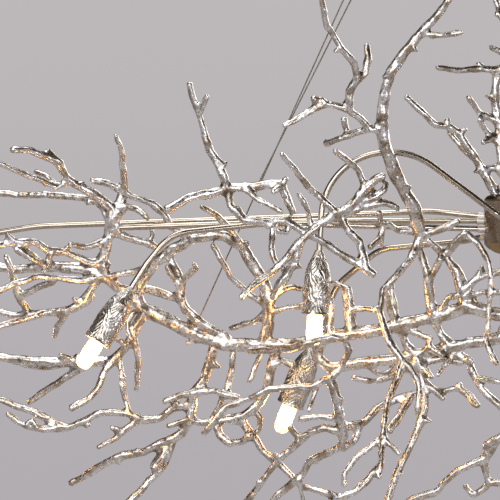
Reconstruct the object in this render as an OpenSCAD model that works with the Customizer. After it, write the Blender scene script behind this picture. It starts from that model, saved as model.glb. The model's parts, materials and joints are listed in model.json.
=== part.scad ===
// Branch chandelier: silver-leafed cast branches hung on four steel wires round a turned hub,
// with eight capsule lamps on bent tubes. Millimetres, +Z up, origin at the ceiling face.
// The branches of one half are drawn, and the other half is the same half turned round the hub.

/* [Hanging] */
// Height of the ceiling above the middle of the hub
drop = 380; // [350:10:420]
// Diameter of each suspension wire
wire_d = 1.5; // [1.2:0.1:2]
// Distance of the outer pair of wires from the hub axis, along the chandelier
wire_a_x = 115.5; // [104:0.5:116]
// Distance of the inner pair of wires from the hub axis, along the chandelier
wire_b_x = 101.5; // [94:0.5:108]

/* [Canopy] */
// Radius of the canopy
canopy_r = 135; // [132:1:150]
// Height of the canopy
canopy_h = 30; // [26:1:40]
// Thickness of the canopy's sheet
canopy_wall = 1.5; // [1:0.25:2.5]
// Length of the ceiling bracket
bracket_l = 200; // [190:5:220]
// Width of the ceiling bracket
bracket_w = 30; // [26:1:36]
// Thickness of the ceiling bracket
bracket_t = 2.5; // [2:0.5:4]
// Distance between the two ceiling screws
slot_spacing = 120; // [100:5:130]
// Width of the ceiling screw slots
slot_w = 5.2; // [4.5:0.1:6.5]
// Length of the ceiling screw slots
slot_l = 14; // [10:1:20]
// Diameter of the canopy studs
stud_d = 5; // [4:0.5:6]

/* [Hub] */
// Outer radius of the hub drum
hub_r = 31; // [29:0.5:33]
// Thickness of the hub's walls
hub_wall = 3; // [2:0.5:4]
// Height of the drum above the middle of the hub
hub_top = 19; // [17:1:24]
// Depth of the drum below the middle of the hub
hub_base = 24; // [23:1:28]
// Height of the hub cap
cap_h = 6; // [5:0.5:9]
// Depth of the hub bowl
bowl_h = 11; // [9:0.5:14]
// Diameter of the bolt that holds the hub together
bolt_d = 6; // [5:0.5:8]
// Diameter of the finial's ball
finial_d = 15; // [12:1:20]

/* [Arms] */
// Outer diameter of the arm tubes
arm_od = 6; // [5:0.25:6.5]
// Bore of the arm tubes
arm_id = 4; // [2.5:0.25:4.5]
// Outer diameter of the collars at the hub
collar_d = 8.4; // [8:0.1:9]
// Length of the collars at the hub
collar_l = 6; // [4:0.5:8]
// How far an arm goes into its sleeve
arm_insert = 10; // [8:1:14]

/* [Lamps] */
// Length of the bark sleeve over each lamp
sleeve_l = 64; // [60:1:72]
// Radius of the sleeve at its widest
sleeve_r = 14.2; // [14:0.2:17]
// Thickness of the sleeve
sleeve_wall = 1.5; // [1:0.1:2]
// Diameter of the glass capsule
glass_d = 16; // [14.5:0.5:18]
// Length of glass that shows below the sleeve
glass_l = 31; // [26:1:36]
// Distance between the lamp's two pins
pin_gap = 9; // [8:0.5:10]
// Diameter of the lamp's pins
pin_d = 1.5; // [1:0.1:2]
// Length of the lamp's flat foot inside its holder
foot_l = 12; // [10:0.5:14]
// Length of the pins beyond the foot
pin_l = 6; // [5:0.5:8]

/* [Branches] */
// Gap left where a branch is seated on a tube, a wire's hole or another branch
seat = 0.3; // [0.2:0.05:0.5]
// Thickness of all branches against the ones drawn
bark = 1.28; // [1:0.04:1.32]
// How far a bend must stand off the straight to be drawn
bend_seen = 2.2; // [1:0.2:3]

/* [Hidden] */
$fn = 48;
silver = [0.72, 0.70, 0.66];
nickel = [0.78, 0.74, 0.68];
bronze = [0.40, 0.32, 0.24];
steel = [0.55, 0.55, 0.57];
porcelain = [0.92, 0.90, 0.86];
lamp_glow = [1.00, 0.93, 0.78];
// Clearances: round a sliding or passing piece, under a seated piece, and how far two lengths of one rod lap.
run = 0.2;
lift = 0.1;
lap = 0.05;

arm_r = arm_od / 2;
wire_r = wire_d / 2;
bolt_r = bolt_d / 2;
inner_r = hub_r - hub_wall;
cap_flat_r = hub_r - 6;
cap_top = hub_top + cap_h;
bowl_low = -hub_base - bowl_h;

// The routes below are read off the photograph in millimetres from the middle of the hub.
// x runs along the chandelier, y back from the viewer and z up.
ARM_1 = [[-25.7, -3.6, -9], [-250, -35, -3.5], [-344, -48.2, -13.5], [-368.5, -51.8, -44], [-383.4, -53.8, -67.6]];
ARM_2 = [[-6.7, -25.1, -4], [-13.4, -50, 1.5], [-100, -42.8, 67], [-190, -41.8, 68], [-196, -42, -30.5]];
ARM_3 = [[-22.5, 13, -15], [-50, 27, -21], [-135, 58, -29], [-177.6, 75.5, -65], [-201.4, 85, -126.4]];
ARM_4 = [[-24.6, 8.5, 3], [-85, 25, 9], [-200, 54, 4], [-480, 122, -6], [-545, 138, -17],
         [-578, 145, -50], [-590, 148, -76]];
STAY = [[-26, 1.4, -1], [-190, 10, -0.5], [-404, 21, -8]];
BENDS_1 = [250, 45, 40];
BENDS_2 = [15, 69, 66];
BENDS_3 = [60, 45, 45];
BENDS_4 = [150, 250, 200, 45, 40];
BENDS_STAY = [300];
ARMS = [ARM_1, ARM_2, ARM_3, ARM_4];
BENDS = [BENDS_1, BENDS_2, BENDS_3, BENDS_4];

// Where each wire leaves its gripper, and where it goes through a branch.
ball_r = 5;
socket_h = 6;
ball_z = drop - canopy_h - socket_h;
WIRE_TOP = [[-wire_a_x, 30, ball_z], [-wire_b_x, -50, ball_z]];
WIRE_END = [[-320.7, 46.5, -109], [-257.5, -50, 34.6]];
WIRE_BELOW = [15.6, 9];

// How far back each casting lies, as a smooth sheet over x and z.
limb_depth = function(x, z) -24 - 0.22 * x - 0.2 * (z + 110);
outer_depth = function(x, z) 21 - 0.1 * (z + 8);
middle_depth = function(x, z) -50;
trunk_depth = function(x, z)
    z > 60 ? -51 - 0.2 * (z - 60) : z > -12 ? -20 - 0.43 * (z + 12) : -20 + 0.3 * (z + 12);
crown_depth = function(x, z) -8 + 0.1 * min(0, x + 20);
lower_outer_depth = function(x, z) 50 - 0.1 * (x + 330) - 0.1 * (z + 130);
lower_inner_depth = function(x, z) -20;

// Branch stretches: [set back at the start, further back at the tip, first radius, last radius, route].
LIMB = [
    [0, 0, 4.9, 4.6, [[-382, -73], [-374, -87], [-345, -102], [-315, -117], [-285, -125], [-250, -127],
        [-222, -126], [-185, -116], [-150, -113], [-117, -106], [-74, -95], [-49, -87], [-15, -94],
        [14, -100]]],
    [0, 0, 4.1, 4.3, [[-194, -119], [-198, -136], [-186, -148], [-145, -142], [-98, -135], [-74, -130],
        [-50, -124], [-15, -116], [16, -112]]],
    [0, 0, 4.4, 3.4, [[-252, -124], [-247, -104], [-246, -80], [-252, -59], [-262, -45], [-273, -27],
        [-289, -16], [-305, -15], [-321, -19], [-341, -28], [-360, -42], [-377, -68]]],
    [0, -45, 2.4, 1.8, [[-266, -38], [-280, -15], [-298, 4], [-314, 13]]],
    [0, -10, 2.1, 1.7, [[-250, -86], [-268, -73], [-285, -57], [-297, -35], [-303, -24]]],
    [0, 15, 2, 1.7, [[-250, -92], [-262, -102], [-275, -106], [-286, -109]]],
    [0, 0, 3.8, 3.4, [[-288, -120], [-315, -104], [-329, -90], [-335, -78], [-335, -60]]],
    [0, 12, 3.4, 3, [[-334, -79], [-350, -73], [-372, -68]]],
    [0, -22, 2.3, 1.8, [[-335, -62], [-324, -55], [-319, -49], [-321, -43]]],
    [0, 0, 2.6, 2.3, [[-336, -60], [-341, -45], [-347, -33]]],
    [0, -25, 3, 2.3, [[-323, -17], [-336, -12], [-346, -5], [-352, 7], [-364, 17], [-380, 21], [-390, 27],
        [-405, 36], [-425, 40]]],
    [-14, -25, 2.4, 1.8, [[-390, 27], [-392, 48], [-393, 66], [-399, 85]]],
    [0, 0, 3.4, 3, [[-49, -87], [-55, -66], [-61, -50], [-70, -35]]],
    [0, -12, 2.5, 2, [[-69, -37], [-78, -27], [-88, -19]]],
    [0, 0, 2.7, 2.4, [[-70, -35], [-60, -23], [-50, -12]]],
    [0, 18, 2.2, 2, [[-61, -46], [-55, -59], [-42, -76], [-37, -88]]],
    [0, -32, 2.2, 1.9, [[-51, -13], [-38, -23], [-27, -42], [-24, -60], [-27, -90], [-29, -118],
        [-25, -133], [-19, -144]]],
    [0, 12, 2.5, 2.1, [[-52, -72], [-40, -60], [-27, -54], [-5, -48]]],
    [3, 6, 2, 1.8, [[-38, -59], [-33, -46]]],
    [0, 0, 3.8, 3.4, [[-82, -97], [-85, -76], [-87, -57]]],
    [0, 12, 2.8, 2.3, [[-87, -59], [-92, -44], [-96, -28]]],
    [0, -10, 2.5, 2.1, [[-86, -61], [-78, -49], [-75, -38]]],
    [0, -16, 2, 1.8, [[-76, -94], [-67, -77], [-56, -73]]],
    [0, -14, 2.2, 1.9, [[-52, -77], [-32, -72], [-8, -74]]],
    [0, -14, 2.3, 1.8, [[-120, -104], [-124, -85], [-129, -68]]],
    [0, 12, 2.3, 1.8, [[-117, -104], [-119, -84], [-124, -63]]],
    [0, 8, 3.8, 3.2, [[-163, -113], [-164, -90], [-169, -67]]],
    [5, -8, 2.3, 2, [[-163, -90], [-150, -88], [-136, -91]]],
    [7, 8, 1.9, 1.7, [[-169, -68], [-178, -64], [-190, -67]]],
    [0, 15, 2.3, 1.8, [[-246, -84], [-236, -72], [-225, -67], [-209, -68]]],
    [0, 0, 2.3, 1.8, [[-246, -94], [-232, -88], [-212, -86]]],
    [0, 6, 3.2, 2.6, [[-186, -115], [-184, -95], [-184, -78]]],
    [0, -8, 2, 1.8, [[-110, -109], [-93, -114], [-84, -119], [-90, -131]]],
    [0, 0, 3.3, 3.3, [[-82, -98], [-76, -112], [-64, -126]]],
    [0, 0, 3.1, 3.1, [[-116, -107], [-110, -124], [-99, -134]]],
    [0, -25, 3.2, 2.4, [[-70, -131], [-48, -140], [-41, -157], [-33, -171], [-14, -187], [6, -196]]],
    [-8, -10, 2.4, 2, [[-40, -159], [-15, -162]]],
    [-25, -20, 3, 2.2, [[4, -196], [-17, -219], [-28, -238], [-45, -246], [-60, -251], [-77, -271],
        [-100, -278], [-122, -292]]],
    [-28, 4, 2.8, 3, [[-16, -217], [-29, -224], [-31, -245], [-27, -262], [-6, -262]]],
    [-28, 4, 2.1, 2.4, [[-51, -266], [-42, -276], [-27, -264]]]
];
LIMB_BUDS = [
    [0, 3, -4, -6, 2.6], [0, 8, 4, 6, 2.8], [0, 11, 5, 6, 3], [1, 3, 3, 6, 2.6], [1, 6, 3, 7, 2.6],
    [2, 5, 6, 5, 2.3], [6, 2, 6, -3, 2.4], [26, 1, 7, 2, 2.6]
];
OUTER = [
    [0, 0, 3.8, 3.8, [[-392, 25], [-399, 12], [-405, -8], [-408, -26], [-413, -42], [-409, -57]]],
    [0, -42, 3.8, 2.1, [[-405, -6], [-403, 12], [-418, 24], [-436, 33], [-449, 42], [-456, 56],
        [-470, 65], [-485, 70], [-504, 71]]],
    [-15, -30, 2.1, 1.8, [[-447, 39], [-460, 33], [-478, 41], [-500, 50], [-545, 68]]],
    [-17, 14, 1.9, 1.6, [[-458, 34], [-468, 44], [-481, 49]]],
    [0, 45, 2.8, 2.2, [[-405, -4], [-412, 12], [-425, 22], [-440, 25], [-470, 26], [-500, 25], [-550, 31]]],
    [0, -22, 2.3, 1.8, [[-408, -19], [-430, -28], [-446, -26]]],
    [0, 12, 2.8, 2.3, [[-405, -12], [-385, -17], [-368, -22], [-356, -29]]],
    [8, 14, 1.9, 1.6, [[-366, -23], [-361, -16], [-366, -5]]],
    [0, -16, 2.6, 2.1, [[-400, 10], [-391, 14], [-378, 10], [-367, 1]]],
    [0, -36, 2.9, 2.2, [[-412, -43], [-430, -41], [-450, -33], [-467, -30], [-480, -21], [-508, -23],
        [-548, -34]]],
    [-12, 0, 2.3, 2, [[-463, -31], [-470, -48]]],
    [-13, -16, 2.1, 1.8, [[-470, -46], [-486, -35], [-509, -14]]],
    [0, 40, 4, 3, [[-410, -57], [-430, -50], [-460, -46], [-500, -49], [-555, -43]]],
    [0, 12, 3.8, 3.6, [[-410, -56], [-397, -68], [-388, -71]]],
    [0, -28, 2.5, 2, [[-411, -56], [-430, -61], [-459, -58], [-478, -56], [-500, -64], [-540, -80]]],
    [0, -14, 2.4, 2.1, [[-409, -57], [-395, -55], [-380, -52], [-369, -48]]],
    [0, 30, 2.8, 2.8, [[-413, -55], [-424, -70], [-435, -82], [-447, -90], [-470, -94], [-505, -95],
        [-552, -84]]],
    [10, 16, 2.2, 1.8, [[-450, -91], [-456, -105], [-462, -118]]],
    [15, -22, 2.5, 2, [[-474, -94], [-498, -100], [-520, -108], [-548, -124]]],
    [17, -34, 2.6, 2.1, [[-487, -94], [-497, -78], [-503, -55], [-510, -36]]],
    [10, -14, 2.3, 2, [[-498, -77], [-478, -68], [-461, -61]]]
];
OUTER_BUDS = [
    [1, 5, -6, 5, 2.2], [1, 3, 3, 6, 2.4], [16, 2, -7, 5, 2.3], [0, 4, 7, -3, 2.6], [9, 2, 4, 6, 2.3],
    [12, 1, -3, 6, 2.5], [0, 1, 6, -5, 2.5], [4, 2, -3, -6, 2.3]
];
MIDDLE = [
    [0, -16, 3.4, 1.8, [[-287, 29], [-295, 53], [-305, 69], [-313, 91], [-317, 108], [-321, 122],
        [-325, 136]]],
    [-9, -10, 1.9, 1.6, [[-317, 105], [-312, 115], [-306, 124]]],
    [0, -16, 3.4, 3, [[-286, 31], [-305, 26], [-325, 23], [-338, 17], [-349, 9]]],
    [0, 0, 3.2, 3.2, [[-286, 31], [-270, 32], [-250, 35], [-233, 35]]],
    [0, 0, 3.2, 2.4, [[-234, 35], [-226, 22], [-221, 7]]],
    [0, 0, 2.9, 2.9, [[-286, 30], [-285, 14], [-271, 0], [-250, -3], [-228, 0], [-212, -12], [-195, -21],
        [-180, -30], [-160, -42], [-140, -55]]],
    [-5, -9, 1.9, 1.7, [[-272, 31], [-250, 18], [-233, 7]]],
    [0, -32, 2.4, 1.8, [[-177, 6], [-191, 19], [-208, 35], [-221, 50], [-234, 67]]],
    [0, -8, 1.9, 1.7, [[-205, -8], [-207, 10], [-216, 26]]],
    [0, -26, 2.4, 2.1, [[-151, 33], [-157, 50], [-173, 63], [-181, 69]]],
    [4, 22, 2.3, 2, [[-227, -52], [-240, -42], [-243, -26], [-242, -9]]],
    [0, -6, 2.1, 1.8, [[-226, -3], [-228, -14], [-239, -10]]],
    [0, 0, 3.5, 3.2, [[-188, 1], [-177, 5], [-160, 20], [-150, 33], [-138, 42], [-131, 46]]],
    [0, 5, 2.4, 2.1, [[-172, 7], [-145, 20], [-131, 30], [-128, 38]]],
    [0, 10, 2.5, 2.2, [[-172, 4], [-150, 14], [-130, 18], [-117, 12]]],
    [0, -18, 3, 2.1, [[-180, 3], [-197, -4], [-209, -16], [-225, -33], [-245, -54], [-262, -65],
        [-274, -79]]],
    [-3, 14, 3.5, 3, [[-214, -22], [-222, -45], [-235, -65], [-243, -79]]],
    [0, 0, 2.7, 2.5, [[-174, 2], [-167, -12], [-156, -22], [-150, -38], [-149, -49]]]
];
MIDDLE_BUDS = [
    [3, 3, 4, 6, 2.6], [2, 1, -4, -5, 2.7], [5, 1, 6, -3, 2.3], [12, 1, -5, 6, 2.6], [5, 8, 6, 4, 2.4],
    [0, 1, 6, 5, 2.1], [16, 1, 7, -2, 2.6], [5, 3, 3, -6, 2.3]
];
TRUNK = [
    [0, 0, 4.6, 4, [[-95, -14], [-102, 13], [-112, 29], [-123, 50], [-130, 73], [-134, 100], [-131, 127]]],
    [0, 0, 4, 2.1, [[-131, 126], [-126, 147], [-105, 174], [-89, 190], [-77, 206], [-55, 238]]],
    [0, -12, 2.1, 1.7, [[-93, 186], [-74, 183], [-53, 187]]],
    [0, -22, 3.1, 1.8, [[-133, 91], [-145, 91], [-155, 100], [-169, 112], [-190, 115], [-203, 110],
        [-232, 94]]],
    [-2, 20, 2.5, 2, [[-144, 91], [-158, 86], [-175, 81], [-191, 77]]],
    [-7, -26, 2.8, 1.9, [[-166, 109], [-166, 128], [-158, 142], [-161, 155], [-175, 172], [-188, 192],
        [-194, 212], [-197, 242]]],
    [-9, 14, 2.5, 2, [[-161, 137], [-150, 146], [-147, 160], [-149, 175]]],
    [0, 0, 2.8, 2.6, [[-95, -15], [-80, -10], [-65, -5], [-56, 0]]],
    [0, 0, 3, 2.5, [[-94, -13], [-100, -30], [-105, -40], [-120, -53], [-133, -70], [-136, -92],
        [-128, -118], [-112, -142]]],
    [0, -12, 2.5, 1.8, [[-112, -141], [-119, -155], [-129, -185], [-133, -210], [-134, -237], [-137, -257]]],
    [-6, -8, 1.9, 1.6, [[-132, -215], [-117, -233]]],
    [0, 8, 2.5, 1.8, [[-113, -141], [-98, -158], [-97, -175], [-99, -194]]],
    [-2, -14, 2.3, 1.8, [[-98, -12], [-117, -11], [-127, -4], [-134, -6], [-137, 9]]],
    [-10, -8, 2.3, 1.9, [[-133, -5], [-135, -17], [-146, -29]]],
    [-12, 4, 2.1, 1.8, [[-135, -15], [-134, -28]]],
    [-6, 12, 2.2, 1.9, [[-133, -217], [-147, -225], [-160, -237], [-171, -252], [-171, -265]]],
    [-9, 12, 2.5, 2.7, [[-136, -245], [-150, -259], [-160, -271], [-178, -277], [-192, -288]]],
    [-2, 10, 2.5, 2, [[-176, -277], [-195, -271], [-211, -265]]]
];
TRUNK_BUDS = [
    [1, 1, -6, -5, 2.4], [3, 4, -5, 6, 2.1], [5, 4, -6, -4, 2], [7, 2, 6, 4, 2.6], [0, 2, 6, 5, 2.8],
    [16, 3, -6, 7, 2.3], [1, 2, 5, -6, 2.2], [8, 5, -6, 4, 2.2]
];
CROWN = [
    [0, -16, 3.2, 2, [[-18, 25], [-22, 33], [-33, 50], [-44, 66], [-55, 86], [-69, 94], [-81, 96],
        [-95, 110], [-110, 123]]],
    [-2, 12, 2.2, 1.9, [[-42, 62], [-54, 72], [-66, 89]]],
    [0, 0, 3.7, 3, [[-8, 25], [-11, 55], [-15, 75], [-18, 98], [-20, 120], [-20, 142], [-16, 153]]],
    [0, -18, 2.6, 1.8, [[-17, 151], [-35, 151], [-59, 150], [-79, 152]]],
    [0, -22, 2.6, 1.9, [[-17, 152], [2, 160], [24, 174]]],
    [0, -14, 2.5, 1.9, [[-19, 98], [-36, 107], [-47, 123]]],
    [0, -12, 2.5, 1.8, [[-15, 76], [-28, 86], [-36, 102]]],
    [-2, -8, 2, 1.7, [[-22, 81], [-34, 77]]],
    [0, -26, 2.5, 1.8, [[-17, 141], [-3, 166], [3, 190], [-2, 218]]],
    [-14, -14, 2.2, 1.9, [[2, 188], [16, 206], [20, 230]]],
    [0, 0, 3, 2.6, [[-10, 42], [-20, 52], [-31, 50]]]
];
CROWN_BUDS = [
    [0, 5, 1, 7, 2.1], [3, 1, -1, 7, 2.2], [2, 3, 7, 5, 2.6], [2, 4, -7, 4, 2.4], [0, 2, -7, -3, 2.4],
    [0, 4, 6, 5, 2.2], [2, 1, 7, 4, 2.7], [8, 2, -6, 4, 2]
];
LOWER_OUTER = [
    [0, 22, 3.5, 2.8, [[-370, -91], [-380, -112], [-390, -128], [-405, -141], [-441, -143], [-470, -143],
        [-505, -140], [-562, -127]]],
    [0, 12, 2.4, 2, [[-382, -116], [-377, -138], [-379, -154], [-379, -171]]],
    [2, -22, 2.6, 2.2, [[-401, -138], [-412, -152], [-418, -170], [-428, -181], [-446, -189]]],
    [2, -2, 1.9, 1.9, [[-398, -136], [-395, -160], [-391, -178], [-386, -194]]],
    [0, -26, 1.9, 1.6, [[-389, -127], [-398, -117], [-407, -112]]],
    [6, 16, 2.6, 2.1, [[-424, -142], [-445, -155], [-467, -169], [-489, -184]]],
    [0, 22, 2.9, 2.3, [[-449, -208], [-461, -205], [-483, -191], [-515, -181], [-558, -175]]],
    [0, 0, 2, 2.9, [[-510, -194], [-490, -208], [-473, -211], [-450, -209], [-432, -202], [-415, -193],
        [-386, -194], [-372, -200], [-357, -199], [-342, -189], [-325, -185]]],
    [0, -14, 2.4, 1.7, [[-376, -199], [-392, -211], [-404, -221], [-418, -229]]],
    [0, 0, 3.8, 3.2, [[-301, -124], [-304, -143], [-311, -160], [-323, -176], [-325, -200], [-333, -215],
        [-346, -221]]],
    [0, 20, 3.1, 2.3, [[-344, -220], [-371, -232], [-400, -238], [-425, -252], [-446, -266]]],
    [0, -12, 2.3, 1.9, [[-344, -221], [-352, -238], [-363, -251]]],
    [0, -28, 2.5, 2, [[-341, -219], [-349, -244], [-362, -258], [-386, -279], [-410, -306]]],
    [-3, -4, 2.6, 2.2, [[-276, -178], [-287, -173], [-300, -171], [-320, -172], [-336, -175], [-351, -182]]],
    [0, 0, 2.1, 2, [[-281, -129], [-285, -150], [-288, -170], [-302, -200]]],
    [0, 0, 2.9, 3.6, [[-325, -200], [-311, -204], [-292, -201], [-272, -197], [-258, -186], [-249, -170],
        [-244, -150], [-238, -127]]],
    [0, -9, 2.1, 1.8, [[-325, -202], [-347, -206]]],
    [0, -8, 3, 2.6, [[-243, -147], [-232, -141], [-221, -146]]],
    [0, -12, 2.8, 2.3, [[-289, -199], [-272, -202], [-262, -216], [-252, -232], [-238, -243], [-222, -258]]],
    [0, 8, 2.1, 1.7, [[-263, -191], [-254, -199], [-255, -210], [-262, -217]]],
    [0, -10, 2.8, 2.5, [[-299, -203], [-296, -216], [-284, -225], [-272, -222], [-264, -215]]]
];
LOWER_OUTER_BUDS = [
    [0, 4, 3, 8, 2.3], [7, 1, 5, 7, 2.1], [9, 1, 6, -4, 2.9], [7, 4, 6, -5, 2.2], [0, 1, -6, 4, 2.5],
    [10, 2, 4, -6, 2.3], [15, 3, 5, 5, 2.6], [8, 1, -8, 3, 1.9]
];
LOWER_INNER = [
    [50, -86, 2.4, 2.3, [[-268, -132], [-252, -130], [-238, -130], [-224, -129], [-213, -124]]],
    [-36, 32, 2.3, 2.2, [[-214, -124], [-200, -119], [-185, -116], [-170, -119], [-166, -130], [-172, -145],
        [-186, -157], [-203, -165], [-228, -166], [-250, -171], [-268, -180], [-290, -188], [-312, -213]]],
    [-27, 55, 3.4, 2.3, [[-186, -156], [-180, -176], [-174, -196], [-172, -215], [-176, -228], [-193, -237],
        [-206, -241], [-213, -254], [-233, -272], [-264, -302]]],
    [-3, -8, 2.8, 2.3, [[-155, -205], [-160, -220], [-174, -229]]],
    [-20, 12, 2.3, 1.9, [[-175, -198], [-190, -196], [-217, -199]]],
    [-17, 34, 2.8, 2.1, [[-173, -212], [-190, -207], [-203, -211], [-220, -226], [-235, -238], [-250, -258],
        [-272, -286]]],
    [-6, -4, 2.2, 2.4, [[-211, -219], [-221, -214], [-226, -206]]],
    [18, -37, 2.7, 2.9, [[-92, -172], [-124, -181], [-140, -190], [-150, -202], [-165, -206], [-174, -204]]],
    [20, -36, 3.3, 2.2, [[-96, -135], [-93, -157], [-90, -176], [-93, -198], [-105, -226], [-120, -256],
        [-130, -290], [-133, -320]]],
    [14, -20, 2.8, 2.2, [[-104, -177], [-111, -190], [-127, -212]]],
    [18, -8, 2.5, 2.1, [[-93, -159], [-82, -169], [-72, -179]]],
    [16, -22, 2.1, 2.4, [[-81, -171], [-57, -169], [-46, -175], [-38, -186]]],
    [20, -14, 2.7, 1.9, [[-95, -142], [-110, -148], [-124, -157], [-140, -161], [-163, -157]]]
];
LOWER_INNER_BUDS = [
    [7, 3, 5, 6, 2.4], [2, 6, 7, -2, 2.5], [8, 3, 6, -3, 2.6], [1, 3, 5, 4, 2.1], [8, 5, 6, 4, 2.3],
    [2, 1, 6, -3, 2.7], [11, 1, 1, 6, 2.1], [5, 4, -6, 5, 2.2]
];

// ---------- shared geometry ----------

function unit(v) = v / norm(v);
function side_of(d) = unit(cross(d, abs(d[2]) > 0.9 ? [0, 1, 0] : [0, 0, 1]));
function from_ends(a, b) = [side_of(unit(b - a)), cross(unit(b - a), side_of(unit(b - a))), unit(b - a)];
function along(a, b, s) = a + s * unit(b - a);

// Draws its children with their +Z from a towards b, and their origin at a.
module aim(a, b) {
    f = from_ends(a, b);
    multmatrix([
        [f[0][0], f[1][0], f[2][0], a[0]],
        [f[0][1], f[1][1], f[2][1], a[1]],
        [f[0][2], f[1][2], f[2][2], a[2]],
        [0, 0, 0, 1]
    ]) children();
}

module at_hub() translate([0, 0, -drop]) children();

// The same half turned round the hub: half 0 as drawn, half 1 on the other side.
module half(k) rotate([0, 0, 180 * k]) children();

module tube(l, ro, ri) linear_extrude(l) difference() {
    circle(ro);
    if (ri > 0) circle(ri);
}

// One bend: a part of a ring from its start, where the rod runs along d, towards side n.
module elbow(start, d, n, bend_r, turn, r) {
    z = cross(-n, d);
    c = start + bend_r * n;
    multmatrix([
        [-n[0], d[0], z[0], c[0]],
        [-n[1], d[1], z[1], c[1]],
        [-n[2], d[2], z[2], c[2]],
        [0, 0, 0, 1]
    ]) rotate_extrude(angle = turn) translate([bend_r, 0]) circle(r);
}

function turn_at(p, i) = acos(unit(p[i] - p[i - 1]) * unit(p[i + 1] - p[i]));
function trim_at(p, radii, i) =
    i == 0 || i == len(p) - 1 ? 0 : radii[i - 1] * tan(turn_at(p, i) / 2);

// A bent rod of radius r through the corners p, from foot below p[0] to tail past its end.
module bent_rod(p, radii, r, foot, tail) union() {
    last = len(p) - 1;
    for (i = [0 : last - 1]) {
        d = unit(p[i + 1] - p[i]);
        low = i == 0 ? foot : lap - trim_at(p, radii, i);
        high = i == last - 1 ? tail : lap - trim_at(p, radii, i + 1);
        aim(p[i], p[i + 1]) translate([0, 0, -low]) cylinder(r = r, h = norm(p[i + 1] - p[i]) + low + high);
        if (i < last - 1) {
            next = unit(p[i + 2] - p[i + 1]);
            elbow(p[i + 1] - d * trim_at(p, radii, i + 1), d, unit(next - (next * d) * d),
                  radii[i], turn_at(p, i + 1), r + lap);
        }
    }
}

// The same rod with a bore of radius ri.
module bent_tube(p, radii, ro, ri, tail) difference() {
    bent_rod(p, radii, ro, 0, tail);
    bent_rod(p, radii, ri, 1, tail + 1);
}

// ---------- branches ----------

function route_point(route, depth, i) = let (
    t = i / (len(route[4]) - 1),
    x = route[4][i][0],
    z = route[4][i][1]
) [x, depth(x, z) + route[0] + route[1] * pow(t, 1.5), z];
function route_radius(route, i) = let (n = len(route[4]))
    bark * (route[2] + (route[3] - route[2]) * i / (n - 1)) * (1.06 + 0.1 * sin(137 * i + 50 * n));
function off_straight(q, i) = let (d = unit(q[i + 1] - q[i - 1]), v = q[i] - q[i - 1])
    abs(d[0] * v[1] - d[1] * v[0]);
function is_seen(q, i) = i == 0 || i == len(q) - 1 || i % 2 == 0 || off_straight(q, i) > bend_seen;
function heading(p, i) = unit(p[min(i + 1, len(p) - 1)] - p[max(i - 1, 0)]);

// A ring of points round p[i], square to the route there.
function ring(p, i, r, sides) = let (
    d = heading(p, i),
    u = unit(cross(d, [0, 1, 0])),
    v = cross(u, d)
) [for (k = [0 : sides - 1]) let (a = 360 * k / sides + 40 * i) p[i] + r * (cos(a) * u + sin(a) * v)];

// One stretch of branch, swollen by grow on every side.
module stretch(route, depth, grow = 0) {
    seen = [for (i = [0 : len(route[4]) - 1]) if (is_seen(route[4], i)) i];
    p = [for (i = seen) route_point(route, depth, i)];
    n = len(p);
    sides = route[2] > 3.7 ? 5 : 4;
    rings = [for (i = [0 : n - 1]) each ring(p, i, route_radius(route, seen[i]) + grow, sides)];
    walls = [for (i = [0 : n - 2]) for (k = [0 : sides - 1]) let (
        a = i * sides + k,
        b = i * sides + (k + 1) % sides
    ) each [[a, b, a + sides], [b, b + sides, a + sides]]];
    first = [for (k = [sides - 1 : -1 : 0]) k];
    tip = [for (k = [0 : sides - 1]) (n - 1) * sides + k];
    polyhedron(rings, concat(walls, [first, tip]));
}

// A bud or a knot: a short stub that swells from a point of a route, [route, point, across, up, size].
module bud(b, routes, depth) {
    a = route_point(routes[b[0]], depth, b[1]);
    hull() {
        translate(a) cylinder(r1 = bark * b[4] * 1.3, r2 = 0, h = b[4], $fn = 4);
        translate(a + [b[2], -b[4] / 2, b[3]]) rotate([180, 0, 0])
            cylinder(r1 = bark * b[4], r2 = 0, h = b[4] / 2, $fn = 4);
    }
}

module casting(routes, buds, depth) {
    for (route = routes) stretch(route, depth);
    for (b = buds) bud(b, routes, depth);
}

// What a branch seated on the limb is cut back by, so that it fits round it.
module limb_seats() {
    for (i = [0, 1]) stretch(LIMB[i], limb_depth, seat);
    for (i = [2, 6, 33, 34]) stretch(LIMB[i], limb_depth, seat);
}

module wire_hole(i) aim(WIRE_TOP[i], WIRE_END[i])
    cylinder(r = wire_r + seat, h = norm(WIRE_END[i] - WIRE_TOP[i]) + 30, $fn = 12);

module limb(k) color(silver) at_hub() half(k) difference() {
    casting(LIMB, LIMB_BUDS, limb_depth);
    wire_hole(0);
}

socket_l = 10;
module outer_branch(k) color(silver) at_hub() half(k) difference() {
    union() {
        casting(OUTER, OUTER_BUDS, outer_depth);
        hull() {
            translate(STAY[2] + [5, 0, 0.5]) sphere(arm_r + 2.4, $fn = 8);
            translate(STAY[2] + [-2, 0, 0]) sphere(arm_r + 1.6, $fn = 8);
        }
    }
    aim(STAY[2], STAY[1]) translate([0, 0, -seat]) cylinder(r = arm_r + seat, h = socket_l + 8, $fn = 16);
    for (i = [10, 11]) stretch(LIMB[i], limb_depth, seat);
}

module middle_branch(k) color(silver) at_hub() half(k) difference() {
    casting(MIDDLE, MIDDLE_BUDS, middle_depth);
    wire_hole(1);
}

module trunk(k) color(silver) at_hub() half(k) difference() {
    casting(TRUNK, TRUNK_BUDS, trunk_depth);
    aim(ARM_1[0], ARM_1[1]) cylinder(r = arm_r + seat, h = 180, $fn = 16);
}

module crown(k) color(silver) at_hub() half(k) difference() {
    casting(CROWN, CROWN_BUDS, crown_depth);
    translate([0, 0, cap_top + seat - 20]) cylinder(r = hub_r, h = 20, $fn = 6);
}

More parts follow.
